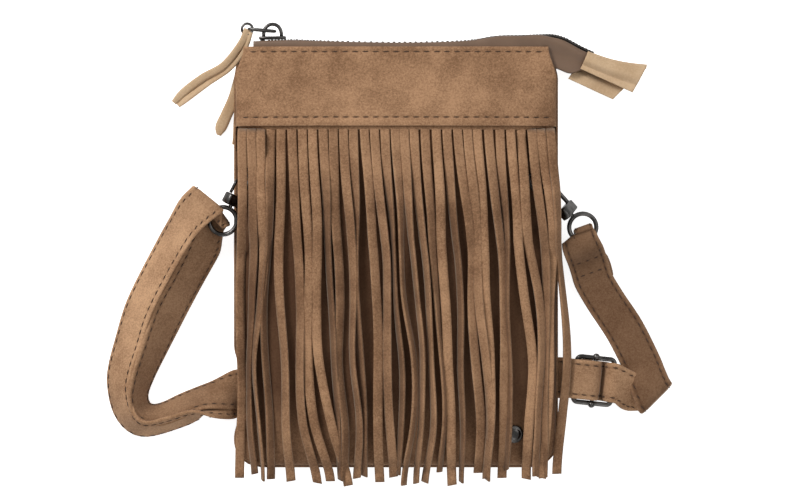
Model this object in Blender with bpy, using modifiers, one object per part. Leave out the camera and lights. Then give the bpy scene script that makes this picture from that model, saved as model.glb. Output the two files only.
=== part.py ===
"""Fringed suede bag, lying on its back with its strap beside it.

+Z points out of the bag's front, +Y towards its zipped mouth, +X to the right.
The origin is the middle of the flat area that the back panel rests on.
"""
import math

import bmesh
import bpy
from mathutils import Matrix, Vector

MM = 0.001
FIT = 0.3 * MM

# Bag body
BAG_WIDTH = 178 * MM
MOUTH_Y = 115.5 * MM
BOTTOM_Y = -117 * MM
CORNER_RADIUS = 14 * MM
SHOULDER_INSET = 4.5 * MM
SHOULDER_LENGTH = 18 * MM
PANEL = 1.2 * MM
LINING = 0.5 * MM
SEAM_Z = 9.6 * MM
SEAM_LIP = 1.0 * MM
MOUTH_RISE = 7.0 * MM
BELLY_RISE = 12.5 * MM
BELLY_LENGTH = 75 * MM
FOOT_LENGTH = 45 * MM
CORNER_OPENING = 5.0 * MM
CORNER_OPENING_LENGTH = 12 * MM
CORNER_OPENING_DEPTH = 27 * MM

# Band over the mouth
BAND = 1.5 * MM
BAND_HEIGHT = 44 * MM
PANEL_LAP = 12 * MM

# Fringe, one sheet cut into strips
FRINGE = 1.2 * MM
STRIP_COUNT = 30
STRIP_PITCH = 5.94 * MM
STRIP_SLIT = 0.9 * MM
HEADER_LAP = 9 * MM
FRINGE_LENGTH = 196 * MM
STRIP_STEPS = 12

# Zip
RIDGE_Z = 12.4 * MM
RIDGE_Y = 118.6 * MM
RIDGE_CLIMB = 2.8 * MM
TAPE = 0.7 * MM
FACING = 0.8 * MM
TOOTH_PITCH = 3.0 * MM
TOOTH_REACH = 2.6 * MM
TEETH_THICK = 2.0 * MM
SPINE = 1.1 * MM
ZIP_START_X = -66 * MM
ZIP_END_X = 82 * MM

# Strap
STRAP_WIDTH = 22 * MM
STRAP = 2.8 * MM

# Metal
WIRE = 1.1 * MM
RING_RADIUS = 7.6 * MM
CLAW_WIRE = 1.2 * MM
CLAW_HALF = 4.8 * MM
CLAW_ROLL = 50
EYE_TO_CLAW = 28.4 * MM
TAB_WIDTH = 9.4 * MM
TAB = 1.2 * MM
STUD_RADIUS = 5.0 * MM


def material(name, colour, roughness, metallic=0.0):
    made = bpy.data.materials.new(name)
    made.use_nodes = True
    shader = made.node_tree.nodes["Principled BSDF"]
    shader.inputs["Base Color"].default_value = (*colour, 1)
    shader.inputs["Roughness"].default_value = roughness
    shader.inputs["Metallic"].default_value = metallic
    return made


def clear_scene():
    for item in list(bpy.data.objects):
        bpy.data.objects.remove(item, do_unlink=True)


clear_scene()
PARTS = bpy.data.collections.new("fringed_suede_bag")
CUTTERS = bpy.data.collections.new("cutters")
bpy.context.scene.collection.children.link(PARTS)
bpy.context.scene.collection.children.link(CUTTERS)

SUEDE = material("suede", (0.40, 0.25, 0.13), 0.9)
PALE_SUEDE = material("pale_suede", (0.52, 0.37, 0.22), 0.9)
SMOOTH = material("smooth_facing", (0.25, 0.16, 0.10), 0.4)
CLOTH = material("cloth", (0.20, 0.14, 0.10), 0.8)
METAL = material("dark_metal", (0.10, 0.10, 0.11), 0.3, 1.0)


def smoothstep(value):
    value = min(1.0, max(0.0, value))
    return value * value * (3 - 2 * value)


def bump(value):
    """One hill: 1 at 0, falling smoothly to 0 at -1 and 1."""
    return 1 - smoothstep(abs(value))


def hill(value, flat, fall):
    """A flat-topped hill: 1 out to flat, falling to 0 over the distance fall."""
    return 1 - smoothstep((abs(value) - flat) / fall)


def mix(a, b, share):
    return a + (b - a) * share


def add_mesh(name, bm, finish, sharp_deg=35):
    bmesh.ops.recalc_face_normals(bm, faces=bm.faces)
    mesh = bpy.data.meshes.new(name)
    bm.to_mesh(mesh)
    bm.free()
    mesh.shade_smooth()
    mesh.set_sharp_from_angle(angle=math.radians(sharp_deg))
    made = bpy.data.objects.new(name, mesh)
    made.data.materials.append(finish)
    PARTS.objects.link(made)
    return made


def sheet(name, columns, rows, place, thickness, finish, side=0.0, hard=()):
    """A grid laid over place(s, t), s and t from 0 to 1, then thickened to one side or both."""
    bm = bmesh.new()
    bmesh.ops.create_grid(bm, x_segments=columns, y_segments=rows, size=0.5)
    for vert in bm.verts:
        vert.co = place(vert.co.x + 0.5, vert.co.y + 0.5)
    mesh = bpy.data.meshes.new(name)
    bm.to_mesh(mesh)
    bm.free()
    mesh.shade_smooth()
    made = bpy.data.objects.new(name, mesh)
    made.data.materials.append(finish)
    PARTS.objects.link(made)
    thicken(made, thickness, side)
    return made


def thicken(made, thickness, side):
    solid = made.modifiers.new("thickness", "SOLIDIFY")
    solid.thickness = thickness
    solid.offset = side
    solid.use_even_offset = False
    return made


def spline(points, share):
    """A smooth curve through the points, read at a share of 0 to 1."""
    spans = len(points) - 1
    place = min(max(share, 0.0), 1.0) * spans
    index = min(int(place), spans - 1)
    t = place - index
    before = points[max(index - 1, 0)]
    start = points[index]
    end = points[index + 1]
    after = points[min(index + 2, spans)]
    return 0.5 * (
        2 * start
        + (end - before) * t
        + (2 * before - 5 * start + 4 * end - after) * t ** 2
        + (3 * start - before - 3 * end + after) * t ** 3
    )


def wire(name, points, radius, finish, closed=False, smooth=2, resolution=2):
    """A round wire along the points."""
    data = bpy.data.curves.new(name, "CURVE")
    data.dimensions = "3D"
    data.bevel_depth = radius
    data.bevel_resolution = resolution
    data.use_fill_caps = True
    run = data.splines.new("POLY")
    run.points.add(len(points) - 1)
    for spot, point in zip(run.points, points):
        spot.co = (*point, 1)
    run.use_cyclic_u = closed
    made = bpy.data.objects.new(name, data)
    made.data.materials.append(finish)
    PARTS.objects.link(made)
    return made


def as_mesh(curve_object, name):
    """The curve's evaluated mesh with its caps welded, as a new object."""
    bpy.context.view_layer.update()
    graph = bpy.context.evaluated_depsgraph_get()
    mesh = bpy.data.meshes.new_from_object(curve_object.evaluated_get(graph))
    bm = bmesh.new()
    bm.from_mesh(mesh)
    bmesh.ops.remove_doubles(bm, verts=bm.verts, dist=0.01 * MM)
    bm.to_mesh(mesh)
    bm.free()
    made = bpy.data.objects.new(name, mesh)
    made.matrix_world = curve_object.matrix_world
    PARTS.objects.link(made)
    bpy.data.objects.remove(curve_object, do_unlink=True)
    return made


def hide_as_cutter(item):
    PARTS.objects.unlink(item)
    CUTTERS.objects.link(item)
    item.hide_render = True
    item.display_type = "WIRE"
    return item


def combine(target, other, operation):
    step = target.modifiers.new(operation.lower(), "BOOLEAN")
    step.operation = operation
    step.solver = "EXACT"
    step.object = hide_as_cutter(other)


def block(name, size, place, finish, edge=0.0):
    """A box with its size, placed by a matrix, with rounded edges."""
    bm = bmesh.new()
    bmesh.ops.create_cube(bm, size=1, matrix=place @ Matrix.Diagonal((*size, 1)))
    if edge:
        bmesh.ops.bevel(bm, geom=bm.edges[:], offset=edge, segments=2, profile=0.5,
                        affect="EDGES", material=-1)
    return add_mesh(name, bm, finish)


def rod(name, radius, length, place, finish, sides=20):
    """A cylinder along the matrix's own Z, centred on it."""
    bm = bmesh.new()
    bmesh.ops.create_cone(bm, cap_ends=True, segments=sides, radius1=radius, radius2=radius,
                          depth=length, matrix=place)
    return add_mesh(name, bm, finish)


def turned(name, profile, place, finish, steps=24):
    """A solid turned about the matrix's own Z from a profile of radius and height, top to bottom."""
    bm = bmesh.new()
    verts = [bm.verts.new((radius, 0, height)) for radius, height in profile]
    for first, second in zip(verts, verts[1:]):
        bm.edges.new((first, second))
    mesh = bpy.data.meshes.new(name)
    bm.to_mesh(mesh)
    bm.free()
    made = bpy.data.objects.new(name, mesh)
    made.data.materials.append(finish)
    made.matrix_world = place
    PARTS.objects.link(made)
    screw = made.modifiers.new("turn", "SCREW")
    screw.steps = steps
    screw.render_steps = steps
    screw.use_merge_vertices = True
    screw.merge_threshold = 0.01 * MM
    return made


# Bag body

HALF = BAG_WIDTH / 2
SQUEEZE_Y = -76 * MM
SQUEEZE = 8 * MM
SQUEEZE_REACH = 26 * MM
STRAP_STACK = 2 * STRAP + 2 * FIT
LIFT_START_Y = -22 * MM
LIFT_FULL_Y = -58 * MM
HOOK_X = 83 * MM
HOOK_Y = 41 * MM
HOOK_DENT = 5.2 * MM
HOOK_TOP_Z = 24 * MM
STUD_X = 65.5 * MM
STUD_Y = -99 * MM
STUD_COVER = 3.2 * MM
STRAP_TOP_Z = 19.0 * MM
BAND_FOOT_Y = MOUTH_Y - BAND_HEIGHT
BACK_DROP = 1.5 * MM
LINING_TOP_Y = 102.6 * MM
LINING_INSET = 7.2 * MM
LINING_SLACK = 1.5 * MM
LINING_ROWS = 13
LINING_COLUMNS = 20
HEADER_STEPS = 2
HEADER_WIDTH_SHARE = 0.962
SWAY = 5 * MM
TWIST = math.radians(55)
TIP_VARIATION = 3 * MM
STRIP_FLOAT = 1.7 * MM


LAYERS = FIT + FRINGE + FIT


def half_width(y, side):
    """Half the bag's width at a height, pressed in on the left where the strap goes under."""
    width = HALF
    below = BOTTOM_Y + CORNER_RADIUS - y
    if below > 0:
        width -= CORNER_RADIUS - math.sqrt(max(CORNER_RADIUS ** 2 - min(below, CORNER_RADIUS) ** 2, 0))
    width -= SHOULDER_INSET * smoothstep((y - MOUTH_Y + SHOULDER_LENGTH) / SHOULDER_LENGTH)
    if side < 0:
        width -= SQUEEZE * bump((y - SQUEEZE_Y) / SQUEEZE_REACH)
    return width


def lap_inset(y):
    """How far the front panel draws in at its sides where the band and the fringe lie over it."""
    return (BAND + LAYERS) * smoothstep((y - BAND_FOOT_Y + 16 * MM) / (12 * MM))


def crown(x, y, inset=0.0):
    """0 on the side seams, 1 on the middle."""
    share = min(1.0, abs(x) / (half_width(y, x) - inset))
    return math.sqrt(1 - share ** 3)


def foot(y, length):
    """1 over the bag's height, falling to 0 on the bottom seam."""
    share = min(1.0, max(0.0, (BOTTOM_Y + length - y) / length))
    return math.sqrt(1 - share ** 3)


def front_z(x, y, inset=0.0, cover=0.0):
    """Height of the front, or of what lies over it with its sides drawn in by another inset."""
    rise = mix(MOUTH_RISE, BELLY_RISE, smoothstep((MOUTH_Y - y) / BELLY_LENGTH))
    dent = HOOK_DENT * hill(abs(x) - HOOK_X, 7 * MM, 12 * MM) * hill(y - HOOK_Y, 20 * MM, 10 * MM)
    height = rise * crown(x, y, inset) * foot(y, FOOT_LENGTH)
    return SEAM_Z + SEAM_LIP + cover + max(height - dent, 0.4 * MM * crown(x, y, inset))


def panel_z(x, y):
    return front_z(x, y, lap_inset(y))


def back_z(x, y):
    """Outer height of the back panel: flat on the ground, and over the strap near the bottom."""
    low = STRAP_STACK + FIT
    lift = low * smoothstep((LIFT_START_Y - y) / (LIFT_START_Y - LIFT_FULL_Y))
    edge = SEAM_Z - SEAM_LIP
    return mix(edge, lift, min(1.0, 1.35 * crown(x, y) * foot(y, 20 * MM)))


def corner_gap(y):
    """Room at the mouth's two corners, where the zip's end comes out between front and back."""
    return CORNER_OPENING * smoothstep((y - MOUTH_Y + CORNER_OPENING_DEPTH) / CORNER_OPENING_LENGTH)


def spread(share):
    """Columns that crowd towards the sides, where the surface turns most."""
    return 0.55 * math.sin(share * math.pi / 2) + 0.45 * share


def shell(name, top_y, bottom_y, height, inset, rim_z, thickness, columns, rows, open_foot=False):
    """A panel over height(x, y) with a short upright rim along its seam, thickened inwards."""
    bm = bmesh.new()
    bmesh.ops.create_grid(bm, x_segments=columns, y_segments=rows, size=1)
    for vert in bm.verts:
        y = mix(bottom_y, top_y, (vert.co.y + 1) / 2)
        x = spread(vert.co.x) * (half_width(y, vert.co.x) - inset(y))
        vert.co = (x, y, height(x, y))
    rim = []
    for edge in bm.edges:
        heights = [vert.co.y for vert in edge.verts]
        at_mouth = min(heights) > top_y - FIT
        at_open_foot = open_foot and max(heights) < bottom_y + FIT
        if edge.is_boundary and not at_mouth and not at_open_foot:
            rim.append(edge)
    extruded = bmesh.ops.extrude_edge_only(bm, edges=rim)
    for item in extruded["geom"]:
        if isinstance(item, bmesh.types.BMVert):
            item.co.z = rim_z(item.co.y)
    return thicken(add_mesh(name, bm, SUEDE), thickness, -1)


def no_inset(y):
    return 0.0


def make_panels():
    """Front and back panels meet edge to edge in the side and bottom seams."""
    shell("front_panel", BAND_FOOT_Y + PANEL_LAP, BOTTOM_Y, panel_z, lap_inset,
          lambda y: SEAM_Z + FIT / 2, PANEL, 20, 20)
    shell("back_panel", MOUTH_Y - BACK_DROP, BOTTOM_Y, back_z, no_inset,
          lambda y: SEAM_Z - FIT / 2, PANEL, 20, 22)


def band_z(x, y):
    """The band lies over the fringe's uncut edge at its foot and closes in towards the mouth."""
    over = mix(BAND + LAYERS, BAND + FIT, smoothstep((y - BAND_FOOT_Y - PANEL_LAP) / (20 * MM)))
    return front_z(x, y, 0.0, over) + corner_gap(y) * (1 - crown(x, y))


def make_band():
    shell("front_band", MOUTH_Y, BAND_FOOT_Y, band_z, no_inset,
          lambda y: SEAM_Z + FIT / 2 + corner_gap(y), BAND, 20, 9, open_foot=True)


def make_lining():
    """A flat sack, open at the mouth, its sides and foot drawn to an edge."""
    bm = bmesh.new()
    bmesh.ops.create_grid(bm, x_segments=LINING_COLUMNS, y_segments=LINING_ROWS, size=1)
    for vert in bm.verts:
        y = mix(BOTTOM_Y + LINING_INSET, LINING_TOP_Y, (vert.co.y + 1) / 2)
        turn = (vert.co.x + 1) * math.pi
        x = spread(math.cos(turn)) * (half_width(y, math.cos(turn)) - LINING_INSET)
        high = front_z(x, y, BAND + LAYERS) - PANEL - 2 * LINING_SLACK
        low = back_z(x, y) + PANEL + LINING_SLACK
        half = max(0.0, (high - low) / 2) * (1 if y > BOTTOM_Y + LINING_INSET + FIT else 0)
        on_edge = abs(math.sin(turn)) < 0.01
        way = 0 if on_edge else math.copysign(1, math.sin(turn))
        vert.co = (x, y, (high + low) / 2 + way * half)
    bmesh.ops.remove_doubles(bm, verts=bm.verts, dist=0.02 * MM)
    thicken(add_mesh("lining", bm, CLOTH), LINING, -1)


def fringe_base(x, y):
    """What the strips lie on: the front panel, a hook at each side, and the strap at the left."""
    ground = panel_z(x, max(y, BOTTOM_Y))
    hook = HOOK_TOP_Z * hill(abs(x) - HOOK_X, 14 * MM, 16 * MM) * hill(y - HOOK_Y, 24 * MM, 38 * MM)
    strap = STRAP_TOP_Z * bump((x + HALF + 4 * MM) / (16 * MM)) * bump((y - SQUEEZE_Y) / (30 * MM))
    stud = STUD_COVER * bump((x - STUD_X) / (14 * MM)) * bump((y - STUD_Y) / (22 * MM))
    return max(ground + stud, hook, strap)


def strip_point(index, share, side):
    """A point on one edge of a strip, from the uncut edge (0) to its end (1)."""
    start = (index + 0.5 - STRIP_COUNT / 2) * STRIP_PITCH
    rise = smoothstep(share * 2)
    sway = SWAY * share * math.sin(0.31 * index + 2.6 * share + 0.6)
    twist = TWIST * rise * math.sin(1.9 * index + 3.1 * share)
    length = FRINGE_LENGTH + TIP_VARIATION * math.sin(2.3 * index)
    x = start * HEADER_WIDTH_SHARE + start * (1 - HEADER_WIDTH_SHARE) * smoothstep(share * 4) + sway
    y = BAND_FOOT_Y - FIT - length * share
    half = (STRIP_PITCH - STRIP_SLIT) / 2
    z = fringe_base(x, y) + FIT + FRINGE / 2 + half * abs(math.sin(twist)) + STRIP_FLOAT * smoothstep(share * 8)
    return Vector((x + side * half * math.cos(twist), y, z + side * half * math.sin(twist)))


def header_point(index, step, side):
    """A point in the uncut edge, between the front panel and the band."""
    half = (STRIP_PITCH - STRIP_SLIT) / 2
    x = ((index + 0.5 - STRIP_COUNT / 2) * STRIP_PITCH + side * half) * HEADER_WIDTH_SHARE
    y = BAND_FOOT_Y + HEADER_LAP * step / HEADER_STEPS
    inset = lap_inset(y) - FIT - FRINGE / 2
    return Vector((x, y, front_z(x, y, inset, FIT + FRINGE / 2)))


def make_fringe():
    """One sheet: an uncut edge under the band, then strips."""
    bm = bmesh.new()
    strips = []
    for index in range(STRIP_COUNT):
        rows = []
        for step in range(HEADER_STEPS, -1, -1):
            rows.append([bm.verts.new(header_point(index, step, side)) for side in (-1, 1)])
        for step in range(1, STRIP_STEPS + 1):
            share = step / STRIP_STEPS
            rows.append([bm.verts.new(strip_point(index, share, side)) for side in (-1, 1)])
        for upper, lower in zip(rows, rows[1:]):
            bm.faces.new((upper[0], lower[0], lower[1], upper[1]))
        strips.append(rows)
    for left, right in zip(strips, strips[1:]):
        for step in range(HEADER_STEPS):
            bm.faces.new((left[step][1], left[step + 1][1], right[step + 1][0], right[step][0]))
    thicken(add_mesh("fringe", bm, SUEDE), FRINGE, 0)


make_panels()
make_band()
make_lining()
make_fringe()

# Zip


ZIP_LEFT_X = -75 * MM
TAIL_RIDGE = ((92, 119.8), (103, 114.2), (114.5, 109.2), (124, 106.4))
TAIL_FOOT = ((88.6, 103.6), (96.5, 100.4), (107, 95), (117, 91.6))
ZIP_FOOT_Y = 103.6 * MM


def ridge_y(x):
    """The teeth run straight from the slider's rest to the mouth's far end."""
    return RIDGE_Y + RIDGE_CLIMB * (x - ZIP_START_X) / (ZIP_END_X - ZIP_START_X)


def zip_stations():
    """Places along the zip: its ridge, its foot, and how far it has folded flat into its tail."""
    stations = []
    for x in (ZIP_LEFT_X, ZIP_START_X, ZIP_START_X / 2, 0.0, ZIP_END_X / 2, ZIP_END_X * 0.8, ZIP_END_X):
        tail = 0.0 if x < ZIP_END_X else 0.4
        stations.append(Vector((x, ridge_y(x), x - tail * 3 * MM, ZIP_FOOT_Y)).to_4d())
    folds = [0, 0, 0, 0, 0, 0.2, 1]
    for ridge, low in zip(TAIL_RIDGE, TAIL_FOOT):
        stations.append(Vector((ridge[0] * MM, ridge[1] * MM, low[0] * MM, low[1] * MM)))
        folds.append(1)
    return stations, folds


STATIONS, FOLDS = zip_stations()


def zip_sheet(name, side, under, over, thickness, finish):
    """A tape or facing from the zip's foot to its ridge. side is 1 at the front, -1 at the back."""
    columns, rows = ZIP_COLUMNS, 5
    bm = bmesh.new()
    bmesh.ops.create_grid(bm, x_segments=columns, y_segments=rows, size=0.5)
    for vert in bm.verts:
        along, up = vert.co.x + 0.5, (vert.co.y + 0.5)
        place = spline(STATIONS, along)
        fold = spline([Vector((fold, 0, 0)) for fold in FOLDS], along).x
        fold = min(1.0, max(0.0, fold))
        foot_point = Vector((place[2], place[3], 0))
        ridge = Vector((place[0], place[1], 0))
        down = (foot_point - ridge).normalized()
        if side > 0:
            wall = band_z(foot_point.x, foot_point.y) - BAND
        else:
            wall = back_z(foot_point.x, foot_point.y) + PANEL
        inner = wall - side * (ZIP_CLEARANCE + under + thickness / 2)
        flat = RIDGE_Z + side * (FIT / 2 + over + thickness / 2)
        foot_point.z = mix(inner, flat, fold)
        reach = TEETH_HALF + FIT + TAPE / 2
        shoulder = ridge + down * mix(0.8 * MM, 3 * MM, fold)
        shoulder.z = RIDGE_Z + side * (mix(SLIDER_HALF + 0.6 * MM, reach, fold) + over)
        edge = ridge.copy()
        edge.z = RIDGE_Z + side * reach
        middle = foot_point.lerp(shoulder, 0.6)
        middle.z = mix(foot_point.z, shoulder.z, 0.15)
        share = up * (1.0 if under else mix(FACING_SHARE, FACING_TAIL_SHARE, fold))
        vert.co = spline([foot_point, middle, shoulder, edge], share)
    bmesh.ops.recalc_face_normals(bm, faces=bm.faces)
    return thicken(add_mesh(name, bm, finish), thickness, 0)


ZIP_COLUMNS = 30
SLIDER_HALF = 3.3 * MM
TEETH_HALF = TOOTH_REACH / 2 + SPINE
FACING_SHARE = 0.36
FACING_TAIL_SHARE = 0.33
ZIP_CLEARANCE = 0.5 * MM


def make_zip_cloth():
    for side, end in ((1, "front"), (-1, "back")):
        zip_sheet(f"zip_tape_{end}", side, FACING + FIT, 0.0, TAPE, CLOTH)
        zip_sheet(f"zip_facing_{end}", side, 0.0, TAPE + FIT, FACING, SMOOTH)


def ridge_path(distance):
    """The ridge's point and its direction, at a distance from the first tooth."""
    points = [Vector((ZIP_START_X, ridge_y(ZIP_START_X), RIDGE_Z)), Vector((ZIP_END_X, ridge_y(ZIP_END_X), RIDGE_Z))]
    tail = [points[1]] + [Vector((x * MM, y * MM, RIDGE_Z)) for x, y in TAIL_RIDGE]
    straight = (points[1] - points[0]).length
    if distance <= straight:
        way = (points[1] - points[0]).normalized()
        return points[0] + way * distance, way
    tail_length = sum((b - a).length for a, b in zip(tail, tail[1:]))
    share = (distance - straight) / tail_length
    here = spline(tail, share)
    way = (spline(tail, share + 0.02) - spline(tail, share - 0.02)).normalized()
    return here, way


TOOTH = TOOTH_PITCH / 2 - FIT
TEETH_COUNT = 62


def make_teeth(name, side):
    """One row of teeth on its spine. The two rows mesh, half a pitch apart."""
    bm = bmesh.new()
    start = 0.0 if side > 0 else TOOTH_PITCH / 2
    inner = RIDGE_Z + side * TOOTH_REACH / 2
    tip = RIDGE_Z - side * (TOOTH_REACH / 2 - FIT)
    outer = RIDGE_Z + side * (TOOTH_REACH / 2 + SPINE)
    before = None
    for index in range(TEETH_COUNT):
        for step, has_tooth in ((0.0, True), (TOOTH, False)):
            column = []
            here, way = ridge_path(start + index * TOOTH_PITCH + step)
            for height in (outer, inner, tip):
                column.append(bm.verts.new((here.x, here.y, height)))
            if before:
                bm.faces.new((before[0], column[0], column[1], before[1]))
                if not has_tooth:
                    bm.faces.new((before[1], column[1], column[2], before[2]))
            before = column
    loose = [vert for vert in bm.verts if not vert.link_faces]
    bmesh.ops.delete(bm, geom=loose, context="VERTS")
    return thicken(add_mesh(name, bm, METAL), TEETH_THICK, 0)


make_zip_cloth()
make_teeth("zip_teeth_front", 1)
make_teeth("zip_teeth_back", -1)


def ribbon(name, rows, width, thickness, finish, steps, columns=1):
    """A flat strip swept along rows of x, y, z, heading and lean of its width, in mm and degrees.

    A sixth value, where a row has one, is the share of the full width there.
    """
    points = [Vector(row[:3]) * MM for row in rows]
    turns = [Vector((row[3], row[4], row[5] if len(row) > 5 else 1.0)) for row in rows]
    bm = bmesh.new()
    bmesh.ops.create_grid(bm, x_segments=columns, y_segments=steps, size=0.5)
    for vert in bm.verts:
        along = vert.co.y + 0.5
        turn = spline(turns, along)
        heading, lean = math.radians(turn.x), math.radians(turn.y)
        across = Vector((math.cos(lean) * math.cos(heading), math.cos(lean) * math.sin(heading), math.sin(lean)))
        vert.co = spline(points, along) + across * (width * turn.z * vert.co.x)
    return thicken(add_mesh(name, bm, finish), thickness, 0)


ZIP_TAB = 1.3 * MM
TAB_LENGTH = 31 * MM
TAB_FRONT_DEPTH = 16 * MM
TAB_BACK_DEPTH = 20 * MM


def make_zip_tab():
    """A suede patch folded over the zip's end along its ridge side."""
    fold = Vector((123, 109.6, 0)) * MM
    along = Vector((0.96, -0.28, 0)).normalized()
    down = Vector((-0.28, -0.96, 0)).normalized()
    half_gap = TEETH_HALF + 3 * FIT + TAPE + ZIP_TAB / 2
    close = 4 * FIT + TAPE + FACING + ZIP_TAB / 2

    def section(share):
        """Front lower edge, over the fold, to the back lower edge: depth, height."""
        depth_front = [TAB_FRONT_DEPTH, TAB_FRONT_DEPTH * 0.5, 4 * MM, 0.4 * MM]
        heights_front = [close, close + 0.9 * MM, half_gap, half_gap * 0.85]
        depths = depth_front + [-2.4 * MM] + [0.4 * MM, 4 * MM, TAB_BACK_DEPTH * 0.5, TAB_BACK_DEPTH]
        heights = heights_front + [0.0] + [-height for height in reversed(heights_front)]
        spot = spline([Vector((depth, height, 0)) for depth, height in zip(depths, heights)], share)
        return spot.x, spot.y

    bm = bmesh.new()
    bmesh.ops.create_grid(bm, x_segments=4, y_segments=18, size=0.5)
    for vert in bm.verts:
        depth, height = section(vert.co.y + 0.5)
        skew = (0.5 - (vert.co.y + 0.5)) * 9 * MM
        spot = fold + along * (vert.co.x * TAB_LENGTH + skew) + down * depth
        vert.co = (spot.x, spot.y, RIDGE_Z + height)
    thicken(add_mesh("zip_end_tab", bm, PALE_SUEDE), ZIP_TAB, 0)


SLIDER_X = -68.5 * MM
SLIDER_LENGTH = 14 * MM
SLIDER_PLATE = 1.3 * MM
SLIDER_ROOM = TEETH_THICK / 2 + 0.4 * MM
CROWN_RADIUS = 4.4 * MM
CROWN_WIRE = 0.9 * MM
PULLER_WIDTH = 6.4 * MM
PULLER_LENGTH = 14.5 * MM
PULLER_THICK = 1.3 * MM
PULLER_SLOT = 2 * (CROWN_WIRE + 2 * FIT)
ZIP_WAY = Vector((ZIP_END_X - ZIP_START_X, RIDGE_CLIMB, 0)).normalized()
ZIP_OUT = Vector((-ZIP_WAY.y, ZIP_WAY.x, 0))


def slider_frame(along, out):
    """A matrix with X along the zip, Y out of the mouth and Z to the front, by the slider's middle."""
    middle = Vector((SLIDER_X, ridge_y(SLIDER_X), RIDGE_Z)) + ZIP_WAY * along + ZIP_OUT * out
    turn = Matrix((ZIP_WAY, ZIP_OUT, Vector((0, 0, 1)))).transposed().to_4x4()
    return Matrix.Translation(middle) @ turn


def make_slider():
    """Two plates joined by a neck at the leading end, with the crown that holds the puller."""
    width = 2 * SLIDER_HALF
    plate_size = (SLIDER_LENGTH, SLIDER_PLATE, width)
    plate_out = SLIDER_ROOM + SLIDER_PLATE / 2
    slider = block("zip_slider", plate_size, slider_frame(0, plate_out), METAL, 0.3 * MM)
    inner = block("slider_inner_plate", plate_size, slider_frame(0, -plate_out), METAL, 0.3 * MM)
    neck_along = -SLIDER_LENGTH / 2 + 1.8 * MM
    neck = block("slider_neck", (2.4 * MM, 2 * SLIDER_ROOM + SLIDER_PLATE, 2 * MM),
                 slider_frame(neck_along, 0), METAL)
    frame = slider_frame(0, SLIDER_ROOM + SLIDER_PLATE)
    arc = []
    for step in range(13):
        turn = math.pi * step / 12
        spot = Vector((CROWN_RADIUS * math.cos(turn), CROWN_RADIUS * 1.45 * math.sin(turn) - 0.5 * MM, 0))
        arc.append(frame @ spot)
    crown_mesh = as_mesh(wire("crown_wire", arc, CROWN_WIRE, METAL), "slider_crown")
    for piece in (inner, neck, crown_mesh):
        combine(slider, piece, "UNION")
    return slider


def puller_frame():
    """At the puller's crossbar, with X towards the puller's free end."""
    pivot = slider_frame(0.6 * MM, SLIDER_ROOM + SLIDER_PLATE + 3.0 * MM)
    return pivot @ Matrix.Rotation(math.radians(PULLER_TURN), 4, "Z")


PULLER_TURN = 174
PULLER_BAR = 1.7 * MM


def make_puller():
    frame = puller_frame()
    middle = frame @ Matrix.Translation((PULLER_LENGTH / 2 - PULLER_BAR / 2, 0, 0))
    puller = block("zip_puller", (PULLER_LENGTH, PULLER_THICK, PULLER_WIDTH), middle, METAL, 0.3 * MM)
    slot_length = CROWN_RADIUS + 2.6 * MM
    slot = block("puller_slot", (slot_length, 3 * PULLER_THICK, PULLER_SLOT),
                 frame @ Matrix.Translation((PULLER_BAR / 2 + slot_length / 2, 0, 0)), METAL)
    eye = rod("puller_eye", 1.5 * MM, 3 * PULLER_THICK,
              frame @ Matrix.Translation((PULLER_LENGTH - 3.2 * MM, 0, 0)) @ Matrix.Rotation(math.pi / 2, 4, "X"),
              METAL)
    combine(puller, slot, "DIFFERENCE")
    combine(puller, eye, "DIFFERENCE")


def ring_points(centre, first, second, radius, count=24):
    """Points on a circle in the plane of two unit vectors."""
    turns = [2 * math.pi * step / count for step in range(count)]
    return [centre + first * (radius * math.cos(turn)) + second * (radius * math.sin(turn)) for turn in turns]


PULL_RING_RADIUS = 2.9 * MM
PULL_RING_WIRE = 0.7 * MM


def make_pull_ring():
    frame = puller_frame()
    eye = frame @ Vector((PULLER_LENGTH - 3.2 * MM, 0, 0))
    along = (frame.to_3x3() @ Vector((1, 0, 0))).normalized()
    out = (frame.to_3x3() @ Vector((0, 1, 0))).normalized()
    centre = eye + along * PULL_RING_RADIUS
    wire("pull_ring", ring_points(centre, along, out, PULL_RING_RADIUS, 16), PULL_RING_WIRE, METAL, closed=True)


LACE_WIDTH = 5.5 * MM
LACE = 1.2 * MM
LACE_LONG = (
    (-86.8, 120.2, 12.4, 55, 4), (-89, 116, 11.6, 45, 4), (-92, 108.5, 10, 28, 3), (-99, 101.5, 8, 45, 2),
    (-108, 95.4, 6, 58, 0), (-115.5, 90.3, 4.5, 55, 0), (-121.6, 86.4, 3.4, 50, 0),
)
LACE_MIDDLE = (
    (-84, 119.6, 10.6, 15, 0), (-84, 117.2, 5.4, 8, 0), (-84.6, 113, 2.0, 5, 0), (-86.4, 104, 1.3, 3, 0),
    (-89.4, 94, 1.2, -4, 0), (-93.4, 83, 1.1, -14, 0), (-97.6, 71.6, 1.0, -22, 0),
)


def make_laces():
    """Suede laces tied to the puller's ring."""
    ribbon("pull_lace_long", LACE_LONG, LACE_WIDTH, 2 * LACE, PALE_SUEDE, 16)
    ribbon("pull_lace_middle", LACE_MIDDLE, LACE_WIDTH, LACE, PALE_SUEDE, 14)


make_zip_tab()
make_slider()
make_puller()
make_pull_ring()
make_laces()


# Rings, hooks and their tabs

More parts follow.
